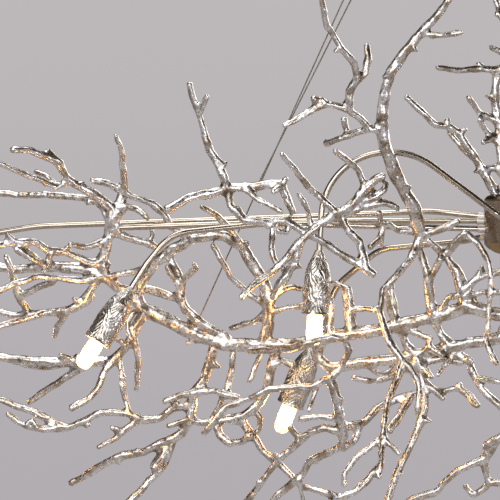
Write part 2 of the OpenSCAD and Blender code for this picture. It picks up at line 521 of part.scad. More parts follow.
module lower_outer(k) color(silver) at_hub() half(k) difference() {
    casting(LOWER_OUTER, LOWER_OUTER_BUDS, lower_outer_depth);
    limb_seats();
}

module lower_inner(k) color(silver) at_hub() half(k) difference() {
    casting(LOWER_INNER, LOWER_INNER_BUDS, lower_inner_depth);
    limb_seats();
}

// ---------- canopy and hanging ----------

module slot(x) translate([x, 0, 0]) linear_extrude(bracket_t + 2) hull() {
    translate([-(slot_l - slot_w) / 2, 0]) circle(slot_w / 2);
    translate([(slot_l - slot_w) / 2, 0]) circle(slot_w / 2);
}

module slot_cut(x) translate([x, 0, -bracket_t - 1]) union() {
    translate([-(slot_l - slot_w) / 2, -slot_w / 2, 0]) cube([slot_l - slot_w, slot_w, bracket_t + 2]);
    for (s = [-1, 1]) translate([s * (slot_l - slot_w) / 2, 0, 0]) cylinder(d = slot_w, h = bracket_t + 2);
}

supply_hole_d = 14;
module ceiling_bracket() color(steel) difference() {
    translate([-bracket_l / 2, -bracket_w / 2, -bracket_t]) cube([bracket_l, bracket_w, bracket_t]);
    for (s = [-1, 1]) slot_cut(s * slot_spacing / 2);
    translate([0, 0, -bracket_t - 1]) cylinder(d = supply_hole_d, h = bracket_t + 2);
}

stud_x = bracket_l / 2 - 10;
nut_h = 8;
stud_l = canopy_h - bracket_t + nut_h - 3;
module canopy_fixings() color(nickel) for (s = [-1, 1]) translate([s * stud_x, 0, 0]) {
    translate([0, 0, -bracket_t - stud_l]) cylinder(d = stud_d, h = stud_l);
    translate([0, 0, -canopy_h - nut_h - lift]) difference() {
        union() {
            cylinder(d = stud_d + 4, h = nut_h);
            translate([0, 0, nut_h - 2]) cylinder(d = stud_d + 7, h = 2);
        }
        translate([0, 0, 2]) cylinder(r = stud_d / 2 + lift, h = nut_h);
    }
}

rim_h = 9;
flat_r = canopy_r - 9;
cord_bore = 6.5;
gland_d = 10;
module canopy() color(bronze) difference() {
    rotate_extrude($fn = 96) polygon([
        [0, -canopy_h], [flat_r, -canopy_h], [canopy_r - 3, -canopy_h + 5], [canopy_r, -rim_h], [canopy_r, 0],
        [canopy_r - canopy_wall, 0], [canopy_r - canopy_wall, -rim_h],
        [canopy_r - 3 - canopy_wall, -canopy_h + 5 + canopy_wall / 2],
        [flat_r - canopy_wall / 2, -canopy_h + canopy_wall], [0, -canopy_h + canopy_wall]
    ]);
    for (s = [-1, 1]) translate([s * stud_x, 0, -canopy_h - 1])
        cylinder(r = stud_d / 2 + run, h = canopy_wall + 2);
    translate([0, 0, -canopy_h - 1]) cylinder(r = gland_d / 2 + lift, h = canopy_wall + 2);
}

// A gland with a threaded neck through a plate of thickness t, its flange below z = 0.
module gland(t, up) mirror([0, 0, up ? 1 : 0]) difference() {
    union() {
        translate([0, 0, -8]) cylinder(d = gland_d + 4, h = 8 - lift);
        translate([0, 0, -0.5]) cylinder(d = gland_d, h = t + 4.5);
    }
    translate([0, 0, -9]) cylinder(d = cord_bore, h = t + 15);
}

hub_gland_at = [12, -12, 0];
module cord_glands() color(bronze) {
    translate([0, 0, -canopy_h]) gland(canopy_wall, false);
    at_hub() translate(hub_gland_at + [0, 0, cap_top]) gland(hub_wall, true);
}

block = [34, 14, 12];
module terminal_block(size, ways) difference() {
    cube(size);
    for (i = [0 : ways - 1]) translate([size[0] * (i + 0.5) / ways, -1, size[2] / 2])
        rotate([-90, 0, 0]) cylinder(d = 4, h = size[1] + 2);
}

hub_block = [24, 10, 10];
module terminal_blocks() color(porcelain) {
    translate([16, -block[1] / 2, -bracket_t - lift - block[2]]) terminal_block(block, 3);
    at_hub() translate([-hub_block[0] / 2, 8, -hub_base + hub_wall + lift]) terminal_block(hub_block, 3);
}

gripper_r = 4.2;
gripper_l = 26;
plunger_bore_l = 6.5;
plunger_r = 3;
module for_wires() for (k = [0, 1]) for (i = [0, 1]) at_hub() half(k) children(i);

module gripper(i) {
    difference() {
        translate([WIRE_TOP[i][0], WIRE_TOP[i][1], ball_z]) cylinder(r = 8, h = socket_h - lift);
        translate(WIRE_TOP[i]) sphere(ball_r + run);
    }
    aim(WIRE_TOP[i], WIRE_END[i]) difference() {
        union() {
            sphere(ball_r);
            cylinder(r = gripper_r, h = gripper_l);
        }
        cylinder(r = wire_r + run, h = gripper_l + 1);
        translate([0, 0, gripper_l - plunger_bore_l]) cylinder(r = plunger_r + run, h = plunger_bore_l + 1);
    }
}

module cable_grippers() color(nickel) for_wires() { gripper(0); gripper(1); }

plunger_in = 3.8;
plunger_out = 4;
plunger_head = 1.3;
module gripper_plunger(n) color(steel) at_hub() half(n > 2 ? 1 : 0) let (i = (n - 1) % 2)
    aim(along(WIRE_TOP[i], WIRE_END[i], gripper_l - plunger_in), WIRE_END[i]) difference() {
        union() {
            cylinder(r = plunger_r, h = plunger_in + plunger_out);
            translate([0, 0, plunger_in + plunger_out - plunger_head]) cylinder(r = 3.9, h = plunger_head);
        }
        translate([0, 0, -1]) cylinder(r = wire_r + run, h = plunger_in + plunger_out + 2);
    }

wire_start = 8;
ferrule_r = 2.6;
module wire(i) aim(along(WIRE_TOP[i], WIRE_END[i], wire_start), WIRE_END[i])
    cylinder(r = wire_r, h = norm(WIRE_END[i] - WIRE_TOP[i]) - wire_start + WIRE_BELOW[i] + ferrule_r - 0.3);

module suspension_wires() color(steel) for_wires() { wire(0); wire(1); }

module ferrule(i) aim(WIRE_TOP[i], WIRE_END[i])
    translate([0, 0, norm(WIRE_END[i] - WIRE_TOP[i]) + WIRE_BELOW[i]]) difference() {
        sphere(ferrule_r);
        translate([0, 0, -ferrule_r - 1]) cylinder(r = wire_r + 0.05, h = 2 * ferrule_r + 2);
    }

module wire_ferrules() color(nickel) for_wires() { ferrule(0); ferrule(1); }

// ---------- hub ----------

module arm_bores(grow) {
    for (k = [0, 1]) half(k) {
        for (p = ARMS) aim(p[0], p[1]) translate([0, 0, -4]) cylinder(r = arm_r + grow, h = 16);
        aim(STAY[0], STAY[1]) translate([0, 0, -4]) cylinder(r = arm_r + grow, h = 16);
    }
}

module hub_body() color(bronze) at_hub() difference() {
    translate([0, 0, -hub_base]) cylinder(r = hub_r, h = hub_base + hub_top);
    translate([0, 0, -hub_base + hub_wall]) cylinder(r = inner_r, h = hub_base + hub_top);
    translate([0, 0, -hub_base - 1]) cylinder(r = bolt_r + run, h = hub_wall + 2);
    arm_bores(lift);
}

module hub_cap() color(bronze) at_hub() difference() {
    rotate_extrude($fn = 96) polygon([
        [0, cap_top - hub_wall], [inner_r - 6, cap_top - hub_wall], [inner_r - 1, hub_top + 0.5],
        [inner_r - 1, hub_top + lift], [hub_r, hub_top + lift], [hub_r, hub_top + 1.5],
        [hub_r - 3, cap_top - 1.2], [cap_flat_r, cap_top], [0, cap_top]
    ]);
    translate([0, 0, hub_top]) cylinder(r = bolt_r + run, h = cap_h + 1);
    translate(hub_gland_at + [0, 0, hub_top]) cylinder(r = gland_d / 2 + lift, h = cap_h + 1);
}

bowl_foot_r = 12;
module hub_bowl() color(bronze) at_hub() difference() {
    rotate_extrude($fn = 96) polygon([
        [0, bowl_low], [bowl_foot_r, bowl_low], [hub_r - 11, bowl_low + 2.5], [hub_r - 4, bowl_low + 6.5],
        [hub_r, -hub_base - lift], [hub_r - hub_wall, -hub_base - lift],
        [hub_r - 4 - hub_wall, bowl_low + 7.3], [hub_r - 12.5, bowl_low + 2.5 + hub_wall - 0.5],
        [bowl_foot_r - 1, bowl_low + hub_wall], [0, bowl_low + hub_wall]
    ]);
    translate([0, 0, bowl_low - 1]) cylinder(r = bolt_r + run, h = hub_wall + 2);
}

bolt_head_h = 4;
finial_neck = 5;
thread_in = 8;
module hub_bolt() color(nickel) at_hub() union() {
    translate([0, 0, bowl_low - thread_in]) cylinder(r = bolt_r, h = cap_top - bowl_low + thread_in + 1);
    translate([0, 0, cap_top + lift]) cylinder(r = bolt_r + 2.2, h = bolt_head_h, $fn = 6);
}

module hub_finial() color(bronze) at_hub() difference() {
    union() {
        translate([0, 0, bowl_low - lift - finial_neck]) cylinder(r = finial_d * 0.38, h = finial_neck);
        translate([0, 0, bowl_low - finial_neck - finial_d * 0.4]) sphere(d = finial_d);
    }
    translate([0, 0, bowl_low - thread_in - 1]) cylinder(r = bolt_r + lift, h = thread_in + 2);
}

// ---------- arms and lamps ----------

module collar(p) difference() {
    aim(p[0], p[1]) translate([0, 0, 1]) tube(collar_l + 5, collar_d / 2, arm_r + lift);
    translate([0, 0, -hub_base - 20]) cylinder(r = hub_r + lift, h = 80);
}

module arm_collars() color(nickel) for (k = [0, 1]) at_hub() half(k) {
    for (p = ARMS) collar(p);
    collar(STAY);
}

module lamp_arm(n) color(nickel) at_hub() half(n > 4 ? 1 : 0)
    bent_tube(ARMS[(n - 1) % 4], BENDS[(n - 1) % 4], arm_r, arm_id / 2, arm_insert);

module stay_rod(n) color(nickel) at_hub() half(n - 1) bent_rod(STAY, BENDS_STAY, arm_r, 0, 0);

// Draws its children in the frame of lamp n: origin at the sleeve's top, +Z down to the lamp's tip.
module at_lamp(n) at_hub() half(n > 4 ? 1 : 0) let (p = ARMS[(n - 1) % 4], e = len(p) - 1)
    aim(p[e], along(p[e - 1], p[e], 2 * norm(p[e] - p[e - 1]))) children();

neck_l = 6;
module lamp_sleeve(n) color(silver) at_lamp(n) rotate_extrude() polygon([
    [arm_r + lift, 0], [arm_r + 1.3, 0], [arm_r + 2.3, 5], [sleeve_r * 0.51, 9], [sleeve_r * 0.8, 18],
    [sleeve_r * 0.93, 28], [sleeve_r, 40], [sleeve_r * 0.99, 50], [sleeve_r * 0.965, sleeve_l - 6],
    [sleeve_r * 0.98, sleeve_l - 2], [sleeve_r, sleeve_l],
    [sleeve_r - sleeve_wall - 0.4, sleeve_l], [sleeve_r * 0.965 - sleeve_wall, sleeve_l - 6],
    [sleeve_r * 0.99 - sleeve_wall, 50], [sleeve_r - sleeve_wall, 40], [sleeve_r * 0.93 - sleeve_wall, 28],
    [sleeve_r * 0.8 - sleeve_wall, 18], [sleeve_r * 0.51 - sleeve_wall + 0.6, neck_l + 4],
    [arm_r + lift, neck_l]
]);

holder_r = sleeve_r * 0.965 - sleeve_wall - seat;
holder_l = 30;
foot = [14, 8];
face = sleeve_l - 0.4;
module lampholder() difference() {
    union() {
        translate([0, 0, face - 4]) cylinder(r = holder_r, h = 4);
        translate([0, 0, face - holder_l]) cylinder(r = holder_r - 2.5, h = holder_l - 1);
    }
    translate([-foot[0] / 2 - seat, -foot[1] / 2 - seat, face - foot_l - seat])
        cube([foot[0] + 2 * seat, foot[1] + 2 * seat, foot_l + 1]);
    for (s = [-1, 1]) translate([s * pin_gap / 2, 0, face - foot_l - pin_l - 1.5])
        cylinder(r = pin_d / 2 + run, h = pin_l + 3);
}

module lampholders() color(porcelain) for (n = [1 : 8]) at_lamp(n) lampholder();

module bulb(n) color(lamp_glow) at_lamp(n) union() {
    translate([0, 0, face + 0.3]) rotate_extrude() polygon([
        [0, 0], [glass_d * 0.4, 0], [glass_d * 0.48, 2.5], [glass_d / 2, 8], [glass_d / 2, glass_l - 9],
        [glass_d * 0.42, glass_l - 4], [glass_d * 0.22, glass_l - 1], [0, glass_l]
    ]);
    translate([-foot[0] / 2, -foot[1] / 2, face - foot_l]) cube([foot[0], foot[1], foot_l + 1]);
    for (s = [-1, 1]) translate([s * pin_gap / 2, 0, face - foot_l - pin_l])
        cylinder(d = pin_d, h = pin_l + 1);
}

ceiling_bracket();
canopy_fixings();
canopy();
terminal_blocks();
cord_glands();
cable_grippers();
for (n = [1 : 4]) gripper_plunger(n);
suspension_wires();
wire_ferrules();
hub_body();
hub_cap();
hub_bowl();
hub_bolt();
hub_finial();
arm_collars();
for (n = [1 : 8]) lamp_arm(n);
for (n = [1 : 2]) stay_rod(n);
for (n = [1 : 8]) lamp_sleeve(n);
lampholders();
for (n = [1 : 8]) bulb(n);
for (k = [0, 1]) {
    side = k == 0 ? "left" : "right";
    limb(k);
    outer_branch(k);
    middle_branch(k);
    trunk(k);
    crown(k);
    lower_outer(k);
    lower_inner(k);
}
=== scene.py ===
"""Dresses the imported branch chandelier: silver-leaf branches, bark sleeves, lit capsule lamps, tubes, hub and wires."""

import json
import logging
import math
from collections.abc import Callable
from dataclasses import dataclass
from enum import Enum
from functools import partial
from typing import Any

import bmesh
import bpy
import numpy as np
from bpy.types import ID, Material, Mesh, Node, NodeSocket, NodeTree, Object
from mathutils import Matrix, Vector

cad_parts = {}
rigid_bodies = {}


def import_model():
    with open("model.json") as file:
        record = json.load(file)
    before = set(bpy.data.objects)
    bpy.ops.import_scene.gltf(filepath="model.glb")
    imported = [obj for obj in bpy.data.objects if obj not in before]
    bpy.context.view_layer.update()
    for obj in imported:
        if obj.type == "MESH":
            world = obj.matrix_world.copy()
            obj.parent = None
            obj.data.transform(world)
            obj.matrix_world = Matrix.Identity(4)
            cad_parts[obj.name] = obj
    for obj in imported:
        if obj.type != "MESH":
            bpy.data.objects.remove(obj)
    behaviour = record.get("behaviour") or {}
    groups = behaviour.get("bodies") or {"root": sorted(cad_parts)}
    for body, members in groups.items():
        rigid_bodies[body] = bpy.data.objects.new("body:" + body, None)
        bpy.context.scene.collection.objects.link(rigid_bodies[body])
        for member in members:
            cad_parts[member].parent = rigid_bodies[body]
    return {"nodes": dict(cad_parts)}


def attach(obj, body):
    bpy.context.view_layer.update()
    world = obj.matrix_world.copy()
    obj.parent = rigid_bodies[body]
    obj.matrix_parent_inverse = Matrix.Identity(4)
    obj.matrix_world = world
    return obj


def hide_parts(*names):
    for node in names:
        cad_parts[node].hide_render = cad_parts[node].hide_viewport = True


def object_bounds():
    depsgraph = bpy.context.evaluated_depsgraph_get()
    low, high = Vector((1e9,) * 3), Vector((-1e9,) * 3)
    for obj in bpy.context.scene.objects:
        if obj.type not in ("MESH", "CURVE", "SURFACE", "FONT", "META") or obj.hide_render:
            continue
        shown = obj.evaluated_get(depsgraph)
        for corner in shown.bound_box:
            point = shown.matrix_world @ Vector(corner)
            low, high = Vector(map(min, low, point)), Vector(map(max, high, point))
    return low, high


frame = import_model()
# The CAD model's box, which no piece passes.
CAD_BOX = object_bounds()

log = logging.getLogger("branch_chandelier")

MM = 0.001
# How far the hub's middle lies under the ceiling, in metres.
DROP = 0.380
# The CAD body that everything fixed rides on.
ROOT = "fitting"
# Points of a mesh that lie closer than this are one point, in metres.
DOUBLED = 1e-6
# The values between which a noise texture mostly lies.
NOISE = (0.3, 0.7)
# The radius of a turned profile's points on the axis, in metres: they become one.
AXIS = 1e-7
SMOOTH = {"interpolation_type": "SMOOTHSTEP"}
COLOURS = {"data_type": "RGBA"}

Feed = dict[str | int, Any]
Place = tuple[float, float, float]
Pair = tuple[float, float]
Faces = list[tuple[int, ...]]


def linear(code: str) -> tuple[float, float, float, float]:
    """Turns an sRGB hex code into the linear colour that a shader socket takes.

    Args:
        code: The colour as six hex digits after a hash.

    Returns:
        Linear red, green, blue and an alpha of one.
    """
    parts = [int(code[i : i + 2], 16) / 255 for i in (1, 3, 5)]
    r, g, b = (c / 12.92 if c <= 0.04045 else ((c + 0.055) / 1.055) ** 2.4 for c in parts)
    return (r, g, b, 1.0)


def per_metre(size_mm: float) -> float:
    """Gives the texture scale at which one feature of a pattern is this many millimetres across."""
    return 1000.0 / size_mm


def span(taken: Pair, low: float = 0.0, high: float = 1.0) -> Feed:
    """Gives the inputs of a range that turn the values taken into low to high."""
    return {"From Min": taken[0], "From Max": taken[1], "To Min": low, "To Max": high}


def feed_node(node: Node, feed: Feed) -> None:
    """Fills a node's inputs.

    Args:
        node: The node.
        feed: Input name or number to a value, or to what is linked: a socket, or a node for its first output.
    """
    for key, value in feed.items():
        if isinstance(value, Node):
            value = value.outputs[0]
        if isinstance(value, NodeSocket):
            node.id_data.links.new(value, node.inputs[key])
        else:
            node.inputs[key].default_value = value


def add_node(tree: NodeTree, kind: str, feed: Feed | None = None, **settings: Any) -> Node:
    """Adds one node with its settings and what its inputs take.

    Args:
        tree: The tree that the node goes into.
        kind: The node's type name.
        feed: What its inputs take, as feed_node has it.
        **settings: The node's own properties.

    Returns:
        The new node.
    """
    node = tree.nodes.new(kind)
    for name, value in settings.items():
        setattr(node, name, value)
    feed_node(node, feed or {})
    return node


# ---------------------------------------------------------------- finishes


class Finish:
    """What every finish shares: a material with an empty tree, a Principled shader and Object coordinates."""

    name: str

    def start(self) -> tuple[Callable[..., Node], Node, NodeSocket]:
        """Makes the material with its shader.

        Returns:
            The call that adds a node to its tree, the Principled shader and the Object coordinates.
        """
        material = bpy.data.materials.new(self.name)
        material.use_nodes = True
        material.node_tree.nodes.clear()
        add = partial(add_node, material.node_tree)
        shader = add("ShaderNodeBsdfPrincipled")
        add("ShaderNodeOutputMaterial", {"Surface": shader})
        return add, shader, add("ShaderNodeTexCoord").outputs["Object"]

    def make(self) -> Material:
        """Returns the finished material, and makes it the first time."""
        found = bpy.data.materials.get(self.name)
        if found is None:
            self.dress()
            found = bpy.data.materials[self.name]
        return found

    def dress(self) -> None:
        """Builds the material's nodes."""
        raise NotImplementedError


@dataclass(frozen=True)
class SilverLeaf(Finish):
    """Silver leaf laid over rough cast metal and thinned by rubbing: bright skin, with brown in the hollows that is
    partly size showing through and partly painted shade.
    """

    name: str = "silver_leaf_on_casting"
    bright: str = "#EDEBE8"
    warm: str = "#BDB09F"
    # This brown stands both for size showing through and for painted shade in the hollows, crevices and pits.
    hollow: str = "#5E4E3F"
    patch_mm: float = 14.0
    peel_mm: float = 2.2
    dent_mm: float = 6.0
    depth_mm: float = 0.18
    hollow_share: float = 0.8
    pit_share: float = 0.5
    gloss: Pair = (0.22, 0.38)
    warm_from: Pair = (0.42, 0.66)
    hollow_from: Pair = (0.2, 0.44)
    pit_from: Pair = (0.3, 0.47)

    def dress(self) -> None:
        """Bright metal with warm patches, brown hollows from a value that the mesh keeps, and an orange-peel skin; the
        brown is partly size and partly painted shade in hollows, crevices and low pits.
        """
        add, shader, place = self.start()
        patch, peel, dent = (
            add("ShaderNodeTexNoise", {"Vector": place, "Scale": per_metre(size), "Detail": detail})
            for size, detail in ((self.patch_mm, 2.0), (self.peel_mm, 2.0), (self.dent_mm, 1.0))
        )
        worn = add("ShaderNodeAttribute", attribute_name="worn").outputs["Fac"]
        to_warm = add("ShaderNodeMapRange", {"Value": patch, **span(self.warm_from)}, **SMOOTH)
        # Painted shade: the lumps' low points, the crevices and the peel's low pits turn brown, along with the size
        # that shows there.
        filled = span(self.hollow_from, self.hollow_share, 0.0)
        to_hollow = add("ShaderNodeMapRange", {"Value": worn, **filled}, **SMOOTH)
        skin = add("ShaderNodeMix", {0: to_warm, 6: linear(self.bright), 7: linear(self.warm)}, **COLOURS)
        pits = add("ShaderNodeMapRange", {"Value": peel, **span(self.pit_from, self.pit_share, 0.0)})
        dark = add("ShaderNodeMath", {0: to_hollow, 1: pits}, operation="MAXIMUM")
        rubbed_and_shaded = add("ShaderNodeMix", {0: dark, 6: skin.outputs[2], 7: linear(self.hollow)}, **COLOURS)
        polish = add("ShaderNodeMapRange", {"Value": peel, **span(NOISE, *self.gloss)})
        depth = self.depth_mm * MM
        dents = add("ShaderNodeBump", {"Height": dent, "Strength": 0.5, "Distance": 4 * depth})
        peeled = {"Height": peel, "Strength": 0.6, "Distance": 1.1 * depth, "Normal": dents}
        bump = add("ShaderNodeBump", peeled)
        feed_node(shader, {"Base Color": rubbed_and_shaded.outputs[2], "Roughness": polish, "Normal": bump, "Metallic": 1.0})


@dataclass(frozen=True)
class SatinMetal(Finish):
    """Metal drawn, turned or brushed, and then plated or lacquered: even, soft highlights with a faint grain.

    The real grain is too fine for the render, so it is drawn as coarse as it needs to show.
    """

    name: str
    colour: str
    shade: str
    roughness: float
    grain_mm: float
    cloud_mm: float = 30.0
    grain_depth_mm: float = 0.15

    def dress(self) -> None:
        """A slight tone change and a fine grain that breaks up the highlight."""
        add, shader, place = self.start()
        cloud, grain = (
            add("ShaderNodeTexNoise", {"Vector": place, "Scale": per_metre(size), "Detail": 2.0})
            for size in (self.cloud_mm, self.grain_mm)
        )
        tone = add("ShaderNodeMix", {0: cloud, 6: linear(self.colour), 7: linear(self.shade)}, **COLOURS)
        rough = add("ShaderNodeMapRange", {"Value": grain, **span(NOISE, self.roughness - 0.05, self.roughness + 0.08)})
        bump = add("ShaderNodeBump", {"Height": grain, "Strength": 0.12, "Distance": self.grain_depth_mm * MM})
        feed_node(shader, {"Base Color": tone.outputs[2], "Roughness": rough, "Normal": bump, "Metallic": 1.0})


@dataclass(frozen=True)
class GlazedCeramic(Finish):
    """Glazed steatite of a capsule lampholder: white, glossy, with faint specks, drawn coarser than they are."""

    name: str = "glazed_steatite"
    colour: str = "#F1EDE4"
    speck: str = "#D8D1C4"
    speck_mm: float = 1.2
    speck_from: Pair = (0.6, 0.72)

    def dress(self) -> None:
        """White glaze with small warm specks."""
        add, shader, place = self.start()
        speck = add("ShaderNodeTexNoise", {"Vector": place, "Scale": per_metre(self.speck_mm), "Detail": 2.0})
        amount = add("ShaderNodeMapRange", {"Value": speck, **span(self.speck_from)})
        tone = add("ShaderNodeMix", {0: amount, 6: linear(self.colour), 7: linear(self.speck)}, **COLOURS)
        feed_node(shader, {"Base Color": tone.outputs[2], "Roughness": 0.25})


@dataclass(frozen=True)
class LitGlass(Finish):
    """Quartz capsule of a burning lamp: its wall glows where the coil's light scatters, yellower at its ends."""

    name: str = "lit_quartz_capsule"
    colour: str = "#FFF1D0"
    glow: str = "#FFD089"
    ends: str = "#FFA548"
    strength: float = 1.3
    middle: float = 0.45
    end_from: Pair = (0.3, 0.56)
    cloud_mm: float = 6.0

    def dress(self) -> None:
        """Glass that also gives off a warm light, from the mesh's own "along" value."""
        add, shader, place = self.start()
        along = add("ShaderNodeAttribute", attribute_name="along")
        cloud = add("ShaderNodeTexNoise", {"Vector": place, "Scale": per_metre(self.cloud_mm), "Detail": 1.0})
        middle = add("ShaderNodeMath", {0: along.outputs["Fac"], 1: self.middle}, operation="SUBTRACT")
        off = add("ShaderNodeMath", {0: middle}, operation="ABSOLUTE")
        to_ends = add("ShaderNodeMapRange", {"Value": off, **span(self.end_from)}, **SMOOTH)
        tone = add("ShaderNodeMix", {0: to_ends, 6: linear(self.glow), 7: linear(self.ends)}, **COLOURS)
        level = add("ShaderNodeMapRange", {"Value": cloud, **span(NOISE, self.strength * 0.85, self.strength * 1.15)})
        feed_node(shader, {"Base Color": linear(self.colour), "Roughness": 0.08, "Transmission Weight": 0.75})
        feed_node(shader, {"IOR": 1.46, "Emission Color": tone.outputs[2], "Emission Strength": level})


@dataclass(frozen=True)
class GlowingCoil(Finish):
    """Tungsten coil at its working heat: a white-hot core, whose turns are drawn coarser than they are."""

    name: str = "white_hot_tungsten"
    glow: str = "#FFE9C0"
    strength: float = 14.0
    body: str = "#8A8078"
    turn_mm: float = 1.5

    def dress(self) -> None:
        """A plain emitter, a little brighter along its turns."""
        add, shader, place = self.start()
        turns = add("ShaderNodeTexNoise", {"Vector": place, "Scale": per_metre(self.turn_mm), "Detail": 0.0})
        level = add("ShaderNodeMapRange", {"Value": turns, **span(NOISE, self.strength * 0.7, self.strength * 1.3)})
        colours = {"Base Color": linear(self.body), "Emission Color": linear(self.glow)}
        feed_node(shader, {**colours, "Emission Strength": level})


@dataclass(frozen=True)
class PaleFloor(Finish):
    """Matt painted studio floor that fades out at its edge, and that is clear from below."""

    name: str = "painted_studio_floor"
    colour: str = "#CFCBCA"
    radius: float = 4.0
    shade: str = "#C8C4C3"
    speck_mm: float = 40.0
    fade: Pair = (0.55, 0.98)

    def dress(self) -> None:
        """Pale paint, clear past its radius and on its underside."""
        add, shader, place = self.start()
        speck = add("ShaderNodeTexNoise", {"Vector": place, "Scale": per_metre(self.speck_mm), "Detail": 3.0})
        tone = add("ShaderNodeMix", {0: speck, 6: linear(self.colour), 7: linear(self.shade)}, **COLOURS)
        reach = add("ShaderNodeVectorMath", {0: place}, operation="LENGTH")
        rim = span((self.radius * self.fade[0], self.radius * self.fade[1]))
        edge = add("ShaderNodeMapRange", {"Value": reach.outputs["Value"], **rim}, **SMOOTH)
        side = add("ShaderNodeNewGeometry")
        clear = add("ShaderNodeMath", {0: edge, 1: side.outputs["Backfacing"]}, operation="MAXIMUM")
        gone = add("ShaderNodeBsdfTransparent")
        mix = add("ShaderNodeMixShader", {0: clear, 1: shader, 2: gone})
        out = next(n for n in shader.id_data.nodes if n.type == "OUTPUT_MATERIAL")
        feed_node(shader, {"Base Color": tone.outputs[2], "Roughness": 0.7})
        feed_node(out, {"Surface": mix})


class Metal(Enum):
    """The named metals of the small parts."""

    # Lacquer over nickel on drawn tube: one clear, bright streak along each bend.
    TUBE = SatinMetal("lacquered_nickel_tube", "#CFC6B9", "#B0A595", 0.14, 1.6)
    # Satin nickel on turned parts: a softer, warmer highlight.
    NICKEL = SatinMetal("satin_nickel", "#DAD0C2", "#B7AA98", 0.18, 1.6)
    # Bare strands laid up: they catch the light by turns, dark in between.
    ROPE = SatinMetal("stainless_rope", "#A89E92", "#6E665C", 0.34, 0.8)
    # Bronze turned and darkened: deep brown but for its edges.
    BRONZE = SatinMetal("dark_turned_bronze", "#7C6B5A", "#574A3E", 0.28, 2.2)
    # Bronze brushed bright: a wide, pale band round the drum.
    DRUM = SatinMetal("brushed_bronze_drum", "#A39280", "#7E6F5F", 0.26, 2.2)
    # Brass patinated tan: yellower and duller than the rest.
    BOWL = SatinMetal("tan_patinated_brass", "#B69A6C", "#86704E", 0.34, 2.4)
    # Zinc plating: cool grey, with a soft sheen.
    ZINC = SatinMetal("zinc_plated_steel", "#AEB2B6", "#8C9094", 0.34, 1.4)


LEAF = SilverLeaf()
# The same leaf on the sleeves' finer bark: smaller patches, and brown in its furrows, partly size and partly painted
# shade.
SLEEVE_LEAF = SilverLeaf(
    "silver_leaf_on_bark", "#E9E6E0", "#C9C0B2", "#5A4F44",
    patch_mm=10.0, peel_mm=1.1, dent_mm=3.0, depth_mm=0.1, hollow_share=0.8, pit_share=0.2, gloss=(0.2, 0.34),
)
CERAMIC = GlazedCeramic()
CAPSULE = LitGlass()
COIL = GlowingCoil()
FLOOR = PaleFloor()


# ---------------------------------------------------------------- mesh helpers


def link_object(name: str, data: ID) -> Object:
    """Makes an object at the origin and links it.

    Args:
        name: The object's name.
        data: Its mesh, curve, light or camera.

    Returns:
        The linked object.
    """
    made = bpy.data.objects.new(name, data)
    bpy.context.collection.objects.link(made)
    return made


def merge_points(mesh: Mesh, outwards: bool) -> None:
    """Merges a mesh's doubled points.

    Args:
        mesh: The mesh.
        outwards: Whether its faces are also turned outwards.
    """
    work = bmesh.new()
    work.from_mesh(mesh)
    bmesh.ops.remove_doubles(work, verts=work.verts, dist=DOUBLED)
    if outwards:
        bmesh.ops.recalc_face_normals(work, faces=work.faces)
    work.to_mesh(mesh)
    work.free()


def mesh_object(name: str, points: np.ndarray, faces: Faces, finish: Material) -> Object:
    """Makes a smooth-shaded object at the origin, with its faces turned outwards.

    Args:
        name: The piece's name.
        points: Its points, in metres, in the row frame.
        faces: Its faces, as point numbers.
        finish: Its material.

    Returns:
        The linked object.
    """
    mesh = bpy.data.meshes.new(name)
    mesh.from_pydata([tuple(p) for p in points], [], faces)
    merge_points(mesh, outwards=True)
    mesh.shade_smooth()
    mesh.materials.append(finish)
    return link_object(name, mesh)


def evaluated_mesh(made: Object) -> Mesh:
    """Gives what an object's curve or modifiers make, as a new mesh."""
    depsgraph = bpy.context.evaluated_depsgraph_get()
    return bpy.data.meshes.new_from_object(made.evaluated_get(depsgraph), depsgraph=depsgraph)


def settle(made: Object) -> None:
    """Turns what an object's modifiers make into its plain, smooth-shaded mesh.

    Args:
        made: The object, with its modifiers.
    """
    mesh = evaluated_mesh(made)
    mesh.name = made.name
    made.modifiers.clear()
    made.data = mesh
    mesh.shade_smooth()


def keep_value(mesh: Mesh, name: str, values: np.ndarray) -> None:
    """Stores one value for each point of a mesh, for its finish to read by this name."""
    mesh.attributes.new(name, "FLOAT", "POINT").data.foreach_set("value", values.astype(np.float32))


def copy_node(node: str, name: str) -> Object:
    """Copies a CAD node's mesh into a new object, with its loose triangles merged.

    Args:
        node: The CAD node.
        name: The new piece's name.

    Returns:
        The new object.
    """
    mesh = frame["nodes"][node].data.copy()
    mesh.materials.clear()
    merge_points(mesh, outwards=False)
    return link_object(name, mesh)


def stand_for(piece: Object, body: str, node: str) -> None:
    """Puts a piece on its body in place of a CAD node, held inside the CAD's box.

    Args:
        piece: The piece, as a mesh.
        body: The CAD body that it rides on.
        node: The CAD node that it stands for.
    """
    points = np.array([v.co for v in piece.data.vertices])
    held = np.clip(points, np.array(CAD_BOX[0]), np.array(CAD_BOX[1]))
    piece.data.vertices.foreach_set("co", held.ravel())
    piece.data.update()
    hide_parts(node)
    log.info("%s: %d faces, on %s", piece.name, len(piece.data.polygons), body)
    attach(piece, body)


def half_turn(half: int) -> Matrix:
    """Gives the turn round the hub that takes the first half to this one."""
    return Matrix.Rotation(math.pi * half, 4, "Z")


def woven(rows: int, n: int) -> Faces:
    """Gives the faces between rows of n points each, closed both ways round, as point numbers."""
    return [
        (i * n + j, i * n + (j + 1) % n, (i + 1) % rows * n + (j + 1) % n, (i + 1) % rows * n + j)
        for i in range(rows)
        for j in range(n)
    ]


